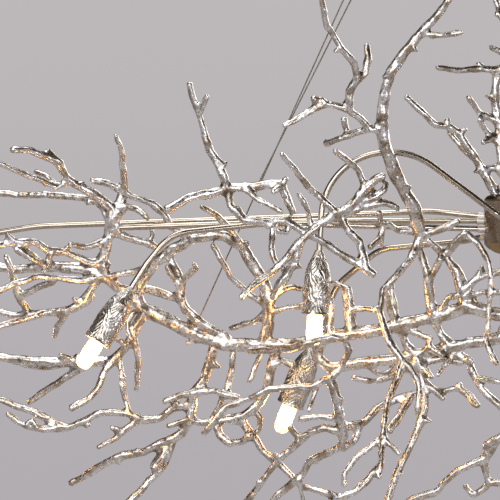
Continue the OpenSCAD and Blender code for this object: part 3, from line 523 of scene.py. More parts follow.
def lathe(profile: np.ndarray, steps: int) -> tuple[np.ndarray, Faces]:
    """Turns a closed profile round the Z axis.

    Args:
        profile: Radius and height of each corner, in order round the section, off the axis.
        steps: How many steps make the circle.

    Returns:
        The points and the faces.
    """
    angles = np.linspace(0, 2 * np.pi, steps, endpoint=False)[:, None]
    r, z = profile.T
    points = np.stack([np.cos(angles) * r, np.sin(angles) * r, np.tile(z, (steps, 1))], 2)
    return points.reshape(-1, 3), woven(steps, len(profile))


class Recipe:
    """A Geometry Nodes tree with named sizes, which ends in Realize Instances and Set Material."""

    def __init__(self, name: str, sizes: dict[str, float]) -> None:
        """Starts the tree.

        Args:
            name: The tree's name.
            sizes: Each named input and its usual value.
        """
        self.tree = bpy.data.node_groups.new(name, "GeometryNodeTree")
        self.tree.is_modifier = True
        sockets = self.tree.interface
        sockets.new_socket("Geometry", in_out="OUTPUT", socket_type="NodeSocketGeometry")
        sockets.new_socket("Geometry", in_out="INPUT", socket_type="NodeSocketGeometry")
        self.ids: dict[str, str] = {}
        for key, value in sizes.items():
            socket = sockets.new_socket(key, in_out="INPUT", socket_type="NodeSocketFloat")
            socket.default_value = value
            self.ids[key] = socket.identifier
        self.add = partial(add_node, self.tree)
        self.given = self.add("NodeGroupInput")
        self.shape = self.given.outputs[0]
        self.result = self.add("NodeGroupOutput")

    def size(self, key: str) -> NodeSocket:
        """Gives the socket of a named input."""
        return self.given.outputs[key]

    def end(self, shape: Node, finish: Material) -> None:
        """Ends the tree.

        Args:
            shape: The node that gives the whole shape.
            finish: Its one material.
        """
        real = self.add("GeometryNodeRealizeInstances", {0: shape})
        dressed = self.add("GeometryNodeSetMaterial", {0: real, "Material": finish})
        feed_node(self.result, {0: dressed})

    def put_on(self, piece: Object, **values: float) -> None:
        """Adds the tree to a piece as a modifier.

        Args:
            piece: The piece that takes the modifier.
            **values: Sizes that differ from the usual ones, by input name with underscores for spaces.
        """
        modifier = piece.modifiers.new(self.tree.name, "NODES")
        modifier.node_group = self.tree
        for key, value in values.items():
            modifier[self.ids[key.replace("_", " ")]] = value


# ---------------------------------------------------------------- branches


@dataclass(frozen=True)
class Twig:
    """A branch too short or too thin for its CAD casting, or one that thickens it, in millimetres from the hub.

    The route gives places across and up. It starts at the casting's own depth and runs back by so much. Where that
    is 0, it keeps to the casting's depth for as long as it lies on it.
    """

    radius: Pair
    back: float
    route: tuple[Pair, ...]

    def radii(self) -> list[float]:
        """Gives the radius at each place of the route, from its start's to its end's."""
        steps = len(self.route) - 1
        return [self.radius[0] + (self.radius[1] - self.radius[0]) * (i / steps) for i in range(steps + 1)]


# The twigs of each casting, which the other half of the chandelier has too.
TWIGS: dict[str, tuple[Twig, ...]] = {
    "limb": (
        Twig((2.6, 2.4), -6, ((-87, -125), (-79, -131), (-71, -137))),
        Twig((2.2, 1.8), -12, ((-57, -134), (-66, -143), (-74, -148), (-78, -156))),
        Twig((2.4, 2.0), -6, ((-50, -141), (-45, -138), (-43, -144))),
        Twig((2.2, 2.0), 12, ((-149, -142), (-142, -150), (-133, -156), (-124, -152), (-120, -141))),
        Twig((2.4, 1.9), -10, ((-253, -130), (-257, -142), (-261, -151), (-266, -162))),
        Twig((3.0, 2.4), -6, ((-336, -66), (-345, -56), (-350, -46))),
        Twig((4.6, 3.6), 0, ((-334, -80), (-335, -68), (-333, -58))),
        Twig((2.6, 2.2), -8, ((-374, -84), (-384, -96), (-388, -110), (-384, -121))),
    ),
    "outer_branch": (
        Twig((4.6, 3.4), 0, ((-424, -74), (-431, -83), (-443, -88))),
        Twig((2.4, 2.0), -4, ((-453, 55), (-462, 65), (-468, 71))),
        Twig((3.2, 2.6), 0, ((-498, -28), (-482, -43), (-473, -43))),
        Twig((2.8, 2.2), -6, ((-463, -40), (-472, -52))),
        Twig((2.8, 2.2), 4, ((-510, -37), (-502, -53))),
    ),
    "middle_branch": (
        Twig((2.8, 2.4), -6, ((-233, 33), (-238, 30), (-243, 27))),
    ),
    "trunk": (
        Twig((2.2, 2.9), -4, ((-169, 85), (-171, 95), (-172, 102))),
        Twig((3.2, 3.4), 0, ((-186, 78), (-189, 78))),
        Twig((3.2, 2.6), -3, ((-198, 114), (-202, 122))),
        Twig((3.3, 2.7), 0, ((-146, 92), (-156, 101), (-169, 112), (-190, 115), (-203, 110), (-230, 95))),
        Twig((3.3, 2.7), 0, ((-166, 112), (-166, 128), (-158, 142), (-161, 155), (-170, 166))),
        Twig((3.2, 3.0), 0, ((-136, -95), (-128, -118), (-112, -142))),
        Twig((3.0, 2.4), 0, ((-112, -142), (-119, -155), (-129, -185), (-133, -206))),
        Twig((3.0, 2.4), 0, ((-112, -142), (-98, -158), (-97, -175), (-99, -190))),
    ),
    "lower_outer": (
        Twig((3.4, 3.2), 0, ((-503, -142), (-487, -146), (-470, -147), (-453, -146), (-439, -142))),
        Twig((2.4, 1.7), -5, ((-445, -141), (-457, -134))),
        Twig((2.2, 1.8), -5, ((-349, -206), (-338, -204), (-327, -200))),
        Twig((2.4, 2.0), 8, ((-347, -220), (-354, -235), (-364, -248))),
        Twig((2.0, 1.6), -4, ((-483, -200), (-478, -210))),
        Twig((2.0, 1.6), -4, ((-405, -208), (-395, -210))),
        Twig((4.6, 4.0), 0, ((-342, -183), (-336, -187), (-330, -188))),
    ),
    "lower_inner": (
        Twig((4.4, 4.0), 0, ((-98, -136), (-97, -145), (-94, -158), (-91, -172))),
        Twig((3.0, 2.6), -8, ((-97, -140), (-83, -141), (-70, -138), (-60, -142), (-52, -143))),
        Twig((2.8, 2.2), -16, ((-94, -142), (-90, -150), (-83, -157))),
        Twig((2.0, 1.7), -6, ((-199, -168), (-203, -180), (-207, -191))),
        Twig((2.3, 1.8), 6, ((-217, -258), (-214, -268), (-212, -282))),
    ),
}


@dataclass
class Branches:
    """The cast branches, grown from the CAD castings: twigs and buds, webbed forks, a rounded skin, lumps and leaf."""

    castings: tuple[str, ...] = (
        "limb", "outer_branch", "middle_branch", "trunk", "crown", "lower_outer", "lower_inner",
    )
    # The side of the voxels of the last skin, and how much coarser the first one is.
    voxel: float = 1.22 * MM
    coarser: float = 1.2
    bud_spacing: float = 80.0 * MM
    bud_share: float = 2.6
    bud_radius: float = 2.1 * MM
    bud_sizes: Pair = (0.5, 1.1)
    bud_stretch: Place = (1.0, 1.0, 1.35)
    # How far the skin goes out to fill the forks, and where it ends, over the CAD's own.
    web: float = 2.0 * MM
    swell: float = 1.0 * MM
    round_steps: int = 6
    round_share: float = 0.6
    # How far a casting bends aside, the lumps' height, and the size of the pattern of each, in mm.
    wander: float = 1.3 * MM
    wander_mm: float = 26.0
    lump_height: float = 0.5 * MM
    lump_mm: float = 9.5
    # How near its casting is to a twig that keeps to it, and the size of the spot that gives it its depth, in mm.
    twig_reach: float = 2.0
    twig_near: float = 6.0
    depth_weight: float = 0.15

    def bud_recipe(self) -> Recipe:
        """Scatters small buds over a casting.

        Returns:
            The tree, with the spacing and the size of the buds as inputs.
        """
        recipe = Recipe("scattered_buds", {"Spacing": self.bud_spacing, "Radius": self.bud_radius})
        add, spacing = recipe.add, recipe.size("Spacing")
        area = add("ShaderNodeMath", {0: spacing, 1: spacing}, operation="MULTIPLY")
        density = add("ShaderNodeMath", {0: self.bud_share, 1: area}, operation="DIVIDE")
        spots = add("GeometryNodeDistributePointsOnFaces", {"Mesh": recipe.shape, "Density": density, "Seed": 11})
        bud = add("GeometryNodeMeshIcoSphere", {"Radius": recipe.size("Radius"), "Subdivisions": 2})
        low, high = self.bud_sizes
        size = add("FunctionNodeRandomValue", {2: low, 3: high, "Seed": 5}, data_type="FLOAT")
        grown = add("ShaderNodeVectorMath", {0: self.bud_stretch, "Scale": size.outputs[1]}, operation="SCALE")
        placed = {"Points": spots.outputs["Points"], "Rotation": spots.outputs["Rotation"]}
        buds = add("GeometryNodeInstanceOnPoints", {**placed, "Instance": bud, "Scale": grown})
        both = add("GeometryNodeJoinGeometry", {0: recipe.shape})
        feed_node(both, {0: buds})
        recipe.end(both, LEAF.make())
        return recipe

    def push_recipe(self) -> Recipe:
        """Moves a skin out or in along its own normals, which fills the forks when it is done out and then in.

        Returns:
            The tree, with the push as its input.
        """
        recipe = Recipe("pushed_skin", {"Push": self.web})
        normal, push = recipe.add("GeometryNodeInputNormal"), recipe.size("Push")
        out = recipe.add("ShaderNodeVectorMath", {0: normal, "Scale": push}, operation="SCALE")
        moved = recipe.add("GeometryNodeSetPosition", {"Geometry": recipe.shape, "Offset": out})
        recipe.end(moved, LEAF.make())
        return recipe

    def skin_recipe(self) -> Recipe:
        """Bends a rounded casting a little, raises lumps on it, and keeps how high each point lies, less a painted
        shade in its crevices, for the leaf's brown.

        Returns:
            The tree, with the wander and the lumps as inputs.
        """
        recipe = Recipe("cast_bark_skin", {"Wander": self.wander, "Lump Height": self.lump_height})
        add = recipe.add
        place = add("GeometryNodeInputPosition")
        drift = add("ShaderNodeTexNoise", {"Vector": place, "Scale": per_metre(self.wander_mm), "Detail": 1.0})
        centred = add("ShaderNodeVectorMath", {0: drift.outputs["Color"], 1: (0.5, 0.5, 0.5)}, operation="SUBTRACT")
        reach = add("ShaderNodeMath", {0: recipe.size("Wander"), 1: 4.0}, operation="MULTIPLY")
        shift = add("ShaderNodeVectorMath", {0: centred, "Scale": reach}, operation="SCALE")
        bent = add("GeometryNodeSetPosition", {"Geometry": recipe.shape, "Offset": shift})
        lumps = {"Vector": place, "Scale": per_metre(self.lump_mm), "Detail": 2.0, "Roughness": 0.55}
        lump = add("ShaderNodeTexNoise", lumps)
        around = add("GeometryNodeBlurAttribute", {"Value": place, "Iterations": 8}, data_type="FLOAT_VECTOR")
        inward = add("ShaderNodeVectorMath", {0: around, 1: place}, operation="SUBTRACT")
        normal = add("GeometryNodeInputNormal")
        sunk = add("ShaderNodeVectorMath", {0: inward, 1: normal}, operation="DOT_PRODUCT")
        # Painted shade: a point below the mean of the points round it lies in a crevice and gets a lower value, which
        # the leaf paints brown.
        crevice_shade = add("ShaderNodeMapRange", {"Value": sunk.outputs["Value"], **span((-0.1 * MM, 0.5 * MM), 0.0, 0.22)})
        worn = add("ShaderNodeMath", {0: lump, 1: crevice_shade}, operation="SUBTRACT")
        stored = {"Geometry": bent, "Name": "worn", "Value": worn}
        kept = add("GeometryNodeStoreNamedAttribute", stored, data_type="FLOAT", domain="POINT")
        rise = add("ShaderNodeMapRange", {"Value": lump, **span((0.25, 0.75), -1.0, 1.0)})
        height = add("ShaderNodeMath", {0: rise, 1: recipe.size("Lump Height")}, operation="MULTIPLY")
        out = add("ShaderNodeVectorMath", {0: normal, "Scale": height}, operation="SCALE")
        raised = add("GeometryNodeSetPosition", {"Geometry": kept, "Offset": out})
        recipe.end(raised, LEAF.make())
        return recipe

    def route_depths(self, twig: Twig, carrier: np.ndarray) -> list[float]:
        """Finds how deep each place of a twig's route lies.

        Args:
            twig: The twig.
            carrier: The points of the casting, in millimetres from the hub, on the first half.

        Returns:
            The depth at each place, in millimetres.
        """
        depths: list[float] = []
        for (x, z), radius in zip(twig.route, twig.radii()):
            off = np.hypot(carrier[:, 0] - x, carrier[:, 2] - z)
            if not depths or (off.min() < radius + self.twig_reach and twig.back == 0):
                cost = off + self.depth_weight * np.abs(carrier[:, 1] - depths[-1]) if depths else off
                apart = np.linalg.norm(carrier - carrier[np.argmin(cost)], axis=1)
                depths.append(float(carrier[apart < self.twig_near][:, 1].mean()))
            else:
                depths.append(depths[-1] + twig.back / (len(twig.route) - 1))
        return depths

    def draw_twig(self, twig: Twig, carrier: np.ndarray) -> Mesh:
        """Draws one twig as a tapering tube that starts inside its casting.

        Args:
            twig: The twig.
            carrier: The points of the casting, in millimetres from the hub, on the first half.

        Returns:
            The tube, as a mesh in the row frame.
        """
        curve = bpy.data.curves.new("twig", "CURVE")
        curve.dimensions = "3D"
        curve.bevel_depth, curve.bevel_resolution, curve.use_fill_caps = MM, 2, True
        spline = curve.splines.new("NURBS")
        spline.points.add(len(twig.route) - 1)
        depths, radii = self.route_depths(twig, carrier), twig.radii()
        for point, (x, z), depth, radius in zip(spline.points, twig.route, depths, radii):
            point.co = (x * MM, depth * MM, z * MM - DROP, 1.0)
            point.radius = radius
        spline.order_u = min(3, len(twig.route))
        spline.use_endpoint_u = True
        drawn = link_object("twig", curve)
        mesh = evaluated_mesh(drawn)
        bpy.data.objects.remove(drawn)
        return mesh

    def add_twigs(self, piece: Object, casting: str, half: int) -> None:
        """Adds the casting's twigs to a copy of it.

        Args:
            piece: The copy.
            casting: The casting's name without its side.
            half: 0 for the half that the photograph shows, 1 for the other.
        """
        points = np.array([v.co for v in piece.data.vertices])
        sign = 1 - 2 * half
        carrier = (points * np.array([sign, sign, 1]) + np.array([0, 0, DROP])) / MM
        work = bmesh.new()
        work.from_mesh(piece.data)
        for twig in TWIGS.get(casting, ()):
            tube = self.draw_twig(twig, carrier)
            tube.transform(half_turn(half))
            work.from_mesh(tube)
            bpy.data.meshes.remove(tube)
        work.to_mesh(piece.data)
        work.free()

    def grow(self, node: str, buds: Recipe, push: Recipe, skin: Recipe) -> None:
        """Grows one casting.

        Args:
            node: The CAD casting that it stands for.
            buds: The tree that scatters buds.
            push: The tree that moves a skin out or in.
            skin: The tree that makes the skin.
        """
        piece = copy_node(node, "leafed_" + node)
        casting, side = node.rsplit("_", 1)
        self.add_twigs(piece, casting, int(side == "right"))
        buds.put_on(piece)
        for voxel, out in ((self.coarser * self.voxel, self.web), (self.voxel, self.swell - self.web)):
            remesh = piece.modifiers.new("one_skin", "REMESH")
            remesh.mode, remesh.voxel_size, remesh.use_smooth_shade = "VOXEL", voxel, True
            push.put_on(piece, Push=out)
        soft = piece.modifiers.new("rounded", "SMOOTH")
        soft.factor = self.round_share
        soft.iterations = self.round_steps
        skin.put_on(piece)
        settle(piece)
        stand_for(piece, ROOT, node)

    def build(self) -> None:
        """Grows every casting on both halves."""
        buds, push, skin = self.bud_recipe(), self.push_recipe(), self.skin_recipe()
        for node in (f"{name}_{side}" for name in self.castings for side in ("left", "right")):
            self.grow(node, buds, push, skin)


# ---------------------------------------------------------------- lamps


@dataclass(frozen=True)
class LampPlace:
    """Where a lamp's sleeve starts, on the first half, and which way it points, in millimetres from the hub."""

    last_corner: Place
    top: Place

    def matrix(self, half: int) -> Matrix:
        """Gives the lamp's own frame in the row frame: origin at the sleeve's top, +Z towards the lamp's tip.

        Args:
            half: 0 for the half that the photograph shows, 1 for the other.

        Returns:
            The frame as a matrix, in metres.
        """
        start, corner = Vector(self.top) * MM, Vector(self.last_corner) * MM
        down = (start - corner).normalized()
        side = down.cross(Vector((0, 1, 0)) if abs(down.z) > 0.9 else Vector((0, 0, 1))).normalized()
        across = down.cross(side)
        start.z -= DROP
        here = Matrix.Translation(start) @ Matrix((side, across, down)).transposed().to_4x4()
        return half_turn(half) @ here


LAMPS = (
    LampPlace((-368.5, -51.8, -44), (-383.4, -53.8, -67.6)),
    LampPlace((-190, -41.8, 68), (-196, -42, -30.5)),
    LampPlace((-177.6, 75.5, -65), (-201.4, 85, -126.4)),
    LampPlace((-578, 145, -50), (-590, 148, -76)),
)
LAMP_NUMBERS = range(1, 2 * len(LAMPS) + 1)


def lamp_frame(number: int) -> Matrix:
    """Gives a lamp's own frame by its number, from 1: the first half's lamps come before the other's."""
    half, place = divmod(number - 1, len(LAMPS))
    return LAMPS[place].matrix(half)


@dataclass
class Sleeve:
    """A bark sleeve: a bud-shaped shell with furrowed ridges running down it, and a thin rolled lip."""

    number: int
    length: float = 64.0 * MM
    wall: float = 1.5 * MM
    bore: float = 3.15 * MM
    around: int = 160
    down: int = 110
    inner_rows: int = 24
    ribs: int = 22
    ridge: float = 0.9 * MM
    # The relief that lies on the shell's own outline, and the value of the plain inside that sets how much brown size
    # and painted shade it takes.
    level: float = 0.72
    inner_worn: float = 0.4
    lip: float = 0.35 * MM
    # Distance from the top and radius, in millimetres.
    stations: tuple[Pair, ...] = (
        (0.0, 4.1), (2.0, 4.7), (5.0, 5.6), (9.0, 7.5), (14.0, 9.9), (20.0, 12.0),
        (28.0, 13.4), (40.0, 14.1), (50.0, 13.9), (58.0, 13.6), (62.0, 13.8), (64.0, 14.1),
    )

    def outline(self, heights: np.ndarray) -> np.ndarray:
        """Smooths the shell's outline.

        Args:
            heights: Distances from its top, in metres.

        Returns:
            The radius at each, in metres.
        """
        at, r = np.array(self.stations).T * MM
        smooth = np.interp(heights, at, r)
        for _ in range(3):
            smooth[1:-1] = (smooth[:-2] + 2 * smooth[1:-1] + smooth[2:]) / 4
        return smooth

    def bark(self, angle: np.ndarray, height: np.ndarray) -> np.ndarray:
        """Works out the bark's relief: patches of close ribs that lean left or right, like veins in long leaves.

        Args:
            angle: Angle round the sleeve of each point.
            height: Distance from the top, in metres.

        Returns:
            The relief from 0, in a furrow, to 1, on a ridge.
        """
        seed = self.number
        h = height / MM + 7.0 * seed
        turn = angle / (2 * np.pi)
        sway = 0.35 * np.sin(h / 5.2 + 3 * angle) + 0.3 * np.sin(h / 3.3 - 5 * angle + seed)
        sway += 0.25 * np.sin(h / 9.0 + 2 * angle)
        left = np.abs(np.sin(np.pi * (self.ribs * turn + h / 7.5 + 0.7 * sway)))
        right = np.abs(np.sin(np.pi * (self.ribs * turn - h / 6.5 - 0.7 * sway)))
        leaf = np.sin(4 * angle + h / 8.0 + 1.2 * sway) + 0.7 * np.sin(3 * angle - h / 6.0 + 2 * seed)
        side = 1 / (1 + np.exp(-4 * leaf))
        stem = np.exp(-((leaf / 0.16) ** 2))
        ribs = side * left ** 0.8 + (1 - side) * right ** 0.8
        knots = 0.5 + 0.5 * np.sin(h / 2.1 + 7 * angle + seed) * np.sin(9 * angle - h / 2.7)
        return np.clip(0.7 * ribs + 0.5 * stem + 0.2 * knots - 0.1, 0, 1)

    def build(self) -> None:
        """Makes the sleeve, on the fitting's body."""
        heights = np.linspace(0, self.length, self.down)
        angles = np.linspace(0, 2 * np.pi, self.around, endpoint=False)
        a, h = np.meshgrid(angles, heights)
        relief = self.bark(a, h)
        rim = self.length - h
        fade = np.clip((rim - 1.6 * MM) / (1.5 * MM), 0, 1) * np.clip(h / (3 * MM), 0.15, 1)
        roll = self.lip * np.exp(-(((rim - 0.8 * MM) / (0.7 * MM)) ** 2))
        outer = self.outline(heights)[:, None] + (relief - self.level) * self.ridge * fade + roll
        inner = np.maximum(self.outline(heights) - self.wall, self.bore)
        back = np.linspace(self.length, 0, self.inner_rows)
        a_in, h_in = np.meshgrid(angles, back)
        r_in = np.interp(back, heights, inner)[:, None]
        skins = ((outer, a, h), (r_in, a_in, h_in))
        points = np.concatenate([np.stack([r * np.cos(t), r * np.sin(t), z], 2) for r, t, z in skins]).reshape(-1, 3)
        faces = woven(self.down + self.inner_rows, self.around)
        piece = mesh_object(f"bark_sleeve_{self.number}", points, faces, SLEEVE_LEAF.make())
        plain = np.full(self.inner_rows * self.around, self.inner_worn)
        # Low in the furrows, high on the ridges: the leaf paints the furrows brown, partly size and partly painted
        # shade.
        keep_value(piece.data, "worn", np.concatenate([(0.18 + 0.5 * relief).ravel(), plain]))
        piece.data.transform(lamp_frame(self.number))
        stand_for(piece, ROOT, f"lamp_sleeve_{self.number}")


@dataclass
class Lamp:
    """A lamp: a quartz capsule with a blunt tip, a hot coil in it, a pinched foot and two pins."""

    number: int
    # Where the glass begins, from the sleeve's top.
    face: float = 63.9 * MM
    glass_radius: float = 8.0 * MM
    glass_length: float = 30.4 * MM
    # Width, depth and height of the foot, how far it goes into the glass, and the cut of its edges.
    foot: Place = (14.0 * MM, 8.0 * MM, 12.0 * MM)
    foot_in: float = 0.4 * MM
    foot_edge: float = 1.2 * MM
    pin_gap: float = 9.0 * MM
    pin_radius: float = 0.735 * MM
    pin_length: float = 6.8 * MM
    pin_in: float = 1.2 * MM
    coil_radius: float = 3.4 * MM
    # Where the coil begins and ends, from where the glass begins.
    coil_ends: Pair = (5 * MM, 22 * MM)

    def capsule_profile(self) -> np.ndarray:
        """Gives the capsule's outline, from its foot to its blunt tip.

        Returns:
            Radius and height of each corner, in metres.
        """
        r, end = self.glass_radius, self.glass_length
        foot = ((0.8, 0.0), (0.93, 1.0), (0.99, 2.6), (1.0, 5.0), (1.0, 14.0))
        tip = ((1.0, 9.0), (0.97, 6.5), (0.9, 4.5), (0.84, 3.2), (0.76, 2.2), (0.66, 1.4), (0.55, 0.8), (0.3, 0.0))
        rising = [(r * share, up * MM) for share, up in foot]
        return np.array(rising + [(r * share, end - back * MM) for share, back in tip])

    def glass(self) -> Object:
        """Makes the capsule's closed glass, whose "along" value runs from its foot to its tip.

        Returns:
            The glass, in the lamp's own frame.
        """
        outline = self.capsule_profile() + np.array([0.0, self.face])
        axis = np.array([[AXIS, outline[-1, 1]], [AXIS, outline[0, 1]]])
        points, faces = lathe(np.concatenate([outline, axis]), 40)
        made = mesh_object(f"quartz_capsule_{self.number}", points, faces, CAPSULE.make())
        heights = np.array([v.co.z for v in made.data.vertices])
        keep_value(made.data, "along", (heights - self.face) / self.glass_length)
        return made

    def coil(self) -> Object:
        """Makes the hot coil's core as a rounded rod inside the capsule.

        Returns:
            The coil, in the lamp's own frame.
        """
        r, low, high = self.coil_radius, self.face + self.coil_ends[0], self.face + self.coil_ends[1]
        edge = ((AXIS, 0.0), (r * 0.7, 0.6 * MM), (r, 2 * MM))
        outline = [(at, low + up) for at, up in edge] + [(at, high - up) for at, up in reversed(edge)]
        points, faces = lathe(np.array(outline), 24)
        return mesh_object(f"hot_coil_{self.number}", points, faces, COIL.make())

    def base(self) -> Object:
        """Makes the pinched foot and the pins.

        Returns:
            The foot, in the lamp's own frame.
        """
        low = self.face - self.foot[2]
        work = bmesh.new()
        middle = Matrix.Translation((0, 0, low + self.foot[2] / 2 + self.foot_in))
        block = bmesh.ops.create_cube(work, size=1.0, matrix=middle @ Matrix.Diagonal((*self.foot, 1)))
        edges = list({e for v in block["verts"] for e in v.link_edges})
        bmesh.ops.bevel(work, geom=edges, offset=self.foot_edge, segments=3, affect="EDGES", profile=0.5)
        for side in (-1, 1):
            place = Matrix.Translation((side * self.pin_gap / 2, 0, low + self.pin_in - self.pin_length / 2))
            bmesh.ops.create_cone(
                work, cap_ends=True, segments=12, radius1=self.pin_radius, radius2=self.pin_radius,
                depth=self.pin_length, matrix=place,
            )
        mesh = bpy.data.meshes.new(f"lamp_foot_{self.number}")
        work.to_mesh(mesh)
        work.free()
        mesh.materials.append(CERAMIC.make())
        return link_object(f"lamp_foot_{self.number}", mesh)

    def build(self) -> None:
        """Makes the lamp on its own body, and lets the light inside it out."""
        for piece in (self.glass(), self.coil(), self.base()):
            piece.data.transform(lamp_frame(self.number))
            piece.visible_shadow = False
            stand_for(piece, f"bulb_{self.number}_body", f"bulb_{self.number}")


# ---------------------------------------------------------------- wires


@dataclass
class Wires:
    """The taut suspension wires: three strands laid up into one rope, from a gripper to a branch."""

    diameter: float = 1.5 * MM
    strands: int = 3
    lay: float = 9.0 * MM
    # A strand's radius and its middle's distance from the rope's, as shares of the diameter.
    strand_share: float = 0.232
    offset_share: float = 0.268
    # The ends of the first half's wires in the CAD, how far past them a ferrule is, and how deep a wire sits in it.
    tops: tuple[Place, ...] = ((-115.5, 30, 344), (-101.5, -50, 344))
    ends: tuple[Place, ...] = ((-320.7, 46.5, -109), (-257.5, -50, 34.6))
    below: tuple[float, ...] = (15.6, 9.0)
    start: float = 8.0
    seat: float = 2.3

    def rope_recipe(self) -> Recipe:
        """Lays strands round a straight line that runs up +Z.

        Returns:
            The tree, with the length, the lay and the diameter as inputs.
        """
        recipe = Recipe("laid_wire", {"Length": 0.5, "Lay": self.lay, "Diameter": self.diameter})
        add, across, length = recipe.add, recipe.size("Diameter"), recipe.size("Length")
        turns = add("ShaderNodeMath", {0: length, 1: recipe.size("Lay")}, operation="DIVIDE")
        strand = add("ShaderNodeMath", {0: across, 1: self.strand_share}, operation="MULTIPLY")
        offset = add("ShaderNodeMath", {0: across, 1: self.offset_share}, operation="MULTIPLY")
        round_it = {"Resolution": 12, "Rotations": turns, "Start Radius": offset, "End Radius": offset}
        helix = add("GeometryNodeCurveSpiral", {**round_it, "Height": length})
        section = add("GeometryNodeCurvePrimitiveCircle", {"Resolution": 7, "Radius": strand})
        tube = add("GeometryNodeCurveToMesh", {0: helix, 1: section, "Fill Caps": True})
        gather = add("GeometryNodeJoinGeometry")
        for k in range(self.strands):
            angle = 2 * math.pi * k / self.strands
            turn = add("GeometryNodeTransform", {"Geometry": tube, "Rotation": (0.0, 0.0, angle)})
            feed_node(gather, {0: turn})
        recipe.end(gather, Metal.ROPE.value.make())
        return recipe

    def lay_wire(self, recipe: Recipe, number: int, first: Vector, last: Vector) -> None:
        """Args:
            recipe: The tree that lays strands.
            number: The wire's number, from 1.
            first: Where it leaves its gripper, in metres.
            last: Where it ends, in its ferrule.
        """
        way = last - first
        piece = mesh_object(f"laid_wire_{number}", np.zeros((1, 3)), [], Metal.ROPE.value.make())
        recipe.put_on(piece, Length=way.length)
        settle(piece)
        piece.data.transform(Matrix.Translation(first) @ way.to_track_quat("Z", "Y").to_matrix().to_4x4())
        stand_for(piece, ROOT, "suspension_wires")

    def build(self) -> None:
        """Makes the four wires."""
        recipe = self.rope_recipe()
        number = 0
        for half in (0, 1):
            for top, end, below in zip(self.tops, self.ends, self.below):
                number += 1
                a, b = Vector(top) * MM, Vector(end) * MM
                way = (b - a).normalized()
                first, last = a + way * self.start * MM, b + way * (below + self.seat) * MM
                lowered = half_turn(half) @ Matrix.Translation((0, 0, -DROP))
                self.lay_wire(recipe, number, lowered @ first, lowered @ last)


# ---------------------------------------------------------------- carried-over parts


@dataclass
class PlainParts:
    """The CAD nodes that keep their own shape and take their real finish."""

    nodes: tuple[tuple[Finish, tuple[str, ...]], ...] = (
        (Metal.BRONZE.value, ("canopy", "cord_glands", "hub_cap", "hub_finial")),
        (Metal.DRUM.value, ("hub_body",)),
        (Metal.BOWL.value, ("hub_bowl",)),
        (Metal.NICKEL.value, ("canopy_fixings", "cable_grippers", "wire_ferrules", "hub_bolt", "arm_collars")),
        (Metal.TUBE.value, ("stay_rod_1", "stay_rod_2", *(f"lamp_arm_{n}" for n in LAMP_NUMBERS))),
        (Metal.ZINC.value, ("ceiling_bracket", *(f"gripper_plunger_{n}" for n in range(1, 5)))),
        (CERAMIC, ("terminal_blocks", "lampholders")),
    )

    def build(self) -> None:
        """Gives every node that keeps its shape its one material."""
        for finish, nodes in self.nodes:
            for node in nodes:
                materials = frame["nodes"][node].data.materials
                materials.clear()
                materials.append(finish.make())
                log.info("%s: %s", node, finish.name)


# ---------------------------------------------------------------- studio


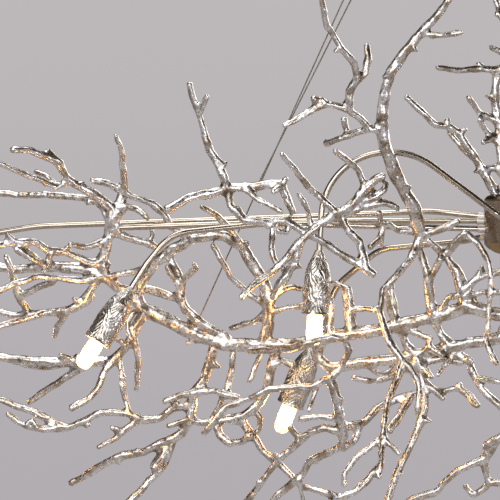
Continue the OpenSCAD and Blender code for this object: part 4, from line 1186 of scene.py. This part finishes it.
@dataclass
class Studio:
    """The camera, the lights, the world and the floor."""

    aim: Place = (-0.265, 0.0, -DROP - 0.030)
    distance: float = 16.0
    width: float = 0.5
    floor_z: float = -1.25
    floor_corners: int = 96
    lamp_watts: float = 0.26
    lamp_colour: str = "#FFB05A"
    lamp_radius: float = 0.0085
    # Where a lamp's light is, from its sleeve's top.
    lamp_middle: float = 78 * MM
    spread: float = math.radians(110)
    # The studio's grey round the object, and how it goes over into other tones as the view rises: from, to, tone.
    grey: str = "#B2ADB1"
    bands: tuple[tuple[float, float, str], ...] = (
        (-0.016, 0.016, "#BCB8B9"), (0.05, 0.24, "#3E362F"), (0.8, 0.98, "#A9A5A2"),
    )

    def camera(self) -> None:
        """Sets the camera level with the branches, square to the chandelier, as the photograph has it."""
        data = bpy.data.cameras.new("camera")
        data.sensor_fit = "HORIZONTAL"
        data.angle = 2 * math.atan(self.width / 2 / self.distance)
        data.clip_start, data.clip_end = 0.1, 500.0
        made = link_object("camera", data)
        made.location = (self.aim[0], self.aim[1] - self.distance, self.aim[2])
        made.rotation_euler = (math.pi / 2, 0, 0)
        bpy.context.scene.camera = made

    def softbox(self, name: str, at: Place, watts: float, size: float, colour: str) -> None:
        """Hangs a square soft light that faces the branches, and that no camera sees.

        Args:
            name: The light's name.
            at: Where it is, in metres.
            watts: Its power.
            size: Its side, in metres.
            colour: Its colour as sRGB hex.
        """
        data = bpy.data.lights.new(name, "AREA")
        data.energy, data.size, data.color = watts, size, linear(colour)[:3]
        data.spread = self.spread
        made = link_object(name, data)
        made.location = at
        made.rotation_euler = (Vector((0, 0, -DROP)) - Vector(at)).to_track_quat("-Z", "Y").to_euler()
        made.visible_camera = False

    def glow(self, number: int) -> None:
        """Puts a small warm light inside a lamp, for the light that it throws on the branches round it.

        Args:
            number: The lamp's number, from 1.
        """
        data = bpy.data.lights.new(f"lamp_light_{number}", "POINT")
        data.energy, data.shadow_soft_size, data.color = self.lamp_watts, self.lamp_radius, linear(self.lamp_colour)[:3]
        link_object(data.name, data).location = lamp_frame(number) @ Vector((0, 0, self.lamp_middle))

    def world(self) -> None:
        """Paints the studio: pale grey at eye level, and dark under the ceiling, which gives the metal its edges."""
        world = bpy.data.worlds.new("studio")
        world.use_nodes = True
        bpy.context.scene.world = world
        world.node_tree.nodes.clear()
        add = partial(add_node, world.node_tree)
        way = add("ShaderNodeTexCoord")
        height = add("ShaderNodeSeparateXYZ", {0: way.outputs["Generated"]}).outputs[2]
        tone: NodeSocket | tuple[float, ...] = linear(self.grey)
        for low, high, code in self.bands:
            share = add("ShaderNodeMapRange", {"Value": height, **span((low, high))}, **SMOOTH)
            tone = add("ShaderNodeMix", {0: share, 6: tone, 7: linear(code)}, **COLOURS).outputs[2]
        sky = add("ShaderNodeBackground", {"Color": tone, "Strength": 1.0})
        add("ShaderNodeOutputWorld", {"Surface": sky})

    def floor(self) -> None:
        """Lays the pale floor under the chandelier."""
        angles = np.linspace(0, 2 * np.pi, self.floor_corners, endpoint=False)
        mesh = bpy.data.meshes.new("studio_floor")
        corners = [(math.cos(t) * FLOOR.radius, math.sin(t) * FLOOR.radius, 0.0) for t in angles]
        mesh.from_pydata(corners, [], [tuple(range(self.floor_corners))])
        mesh.materials.append(FLOOR.make())
        made = link_object("studio_floor", mesh)
        made.location = (0, 0, self.floor_z)

    def build(self) -> None:
        """Sets up the world, the lights and the floor."""
        self.world()
        self.softbox("key_softbox", (-1.1, -2.2, 0.55), watts=13.0, size=1.9, colour="#FFFFFF")
        self.softbox("front_softbox", (0.9, -2.6, -0.4), watts=4.4, size=0.8, colour="#F4F5FF")
        self.softbox("top_softbox", (-0.3, 0.2, 1.5), watts=11.5, size=1.7, colour="#FFFFFF")
        self.softbox("back_softbox", (1.2, 2.3, 0.5), watts=13.5, size=1.7, colour="#FFFAF2")
        for number in LAMP_NUMBERS:
            self.glow(number)
        self.floor()
        bpy.context.scene.view_settings.view_transform = "Standard"


def main() -> None:
    """Builds the studio and every sub-assembly in order."""
    logging.basicConfig(level=logging.INFO, format="%(name)s: %(message)s")
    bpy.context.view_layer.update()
    studio = Studio()
    studio.camera()
    for assembly in (Wires(), PlainParts(), *map(Sleeve, LAMP_NUMBERS), *map(Lamp, LAMP_NUMBERS), Branches()):
        assembly.build()
    studio.build()


if __name__ == "__main__":
    main()
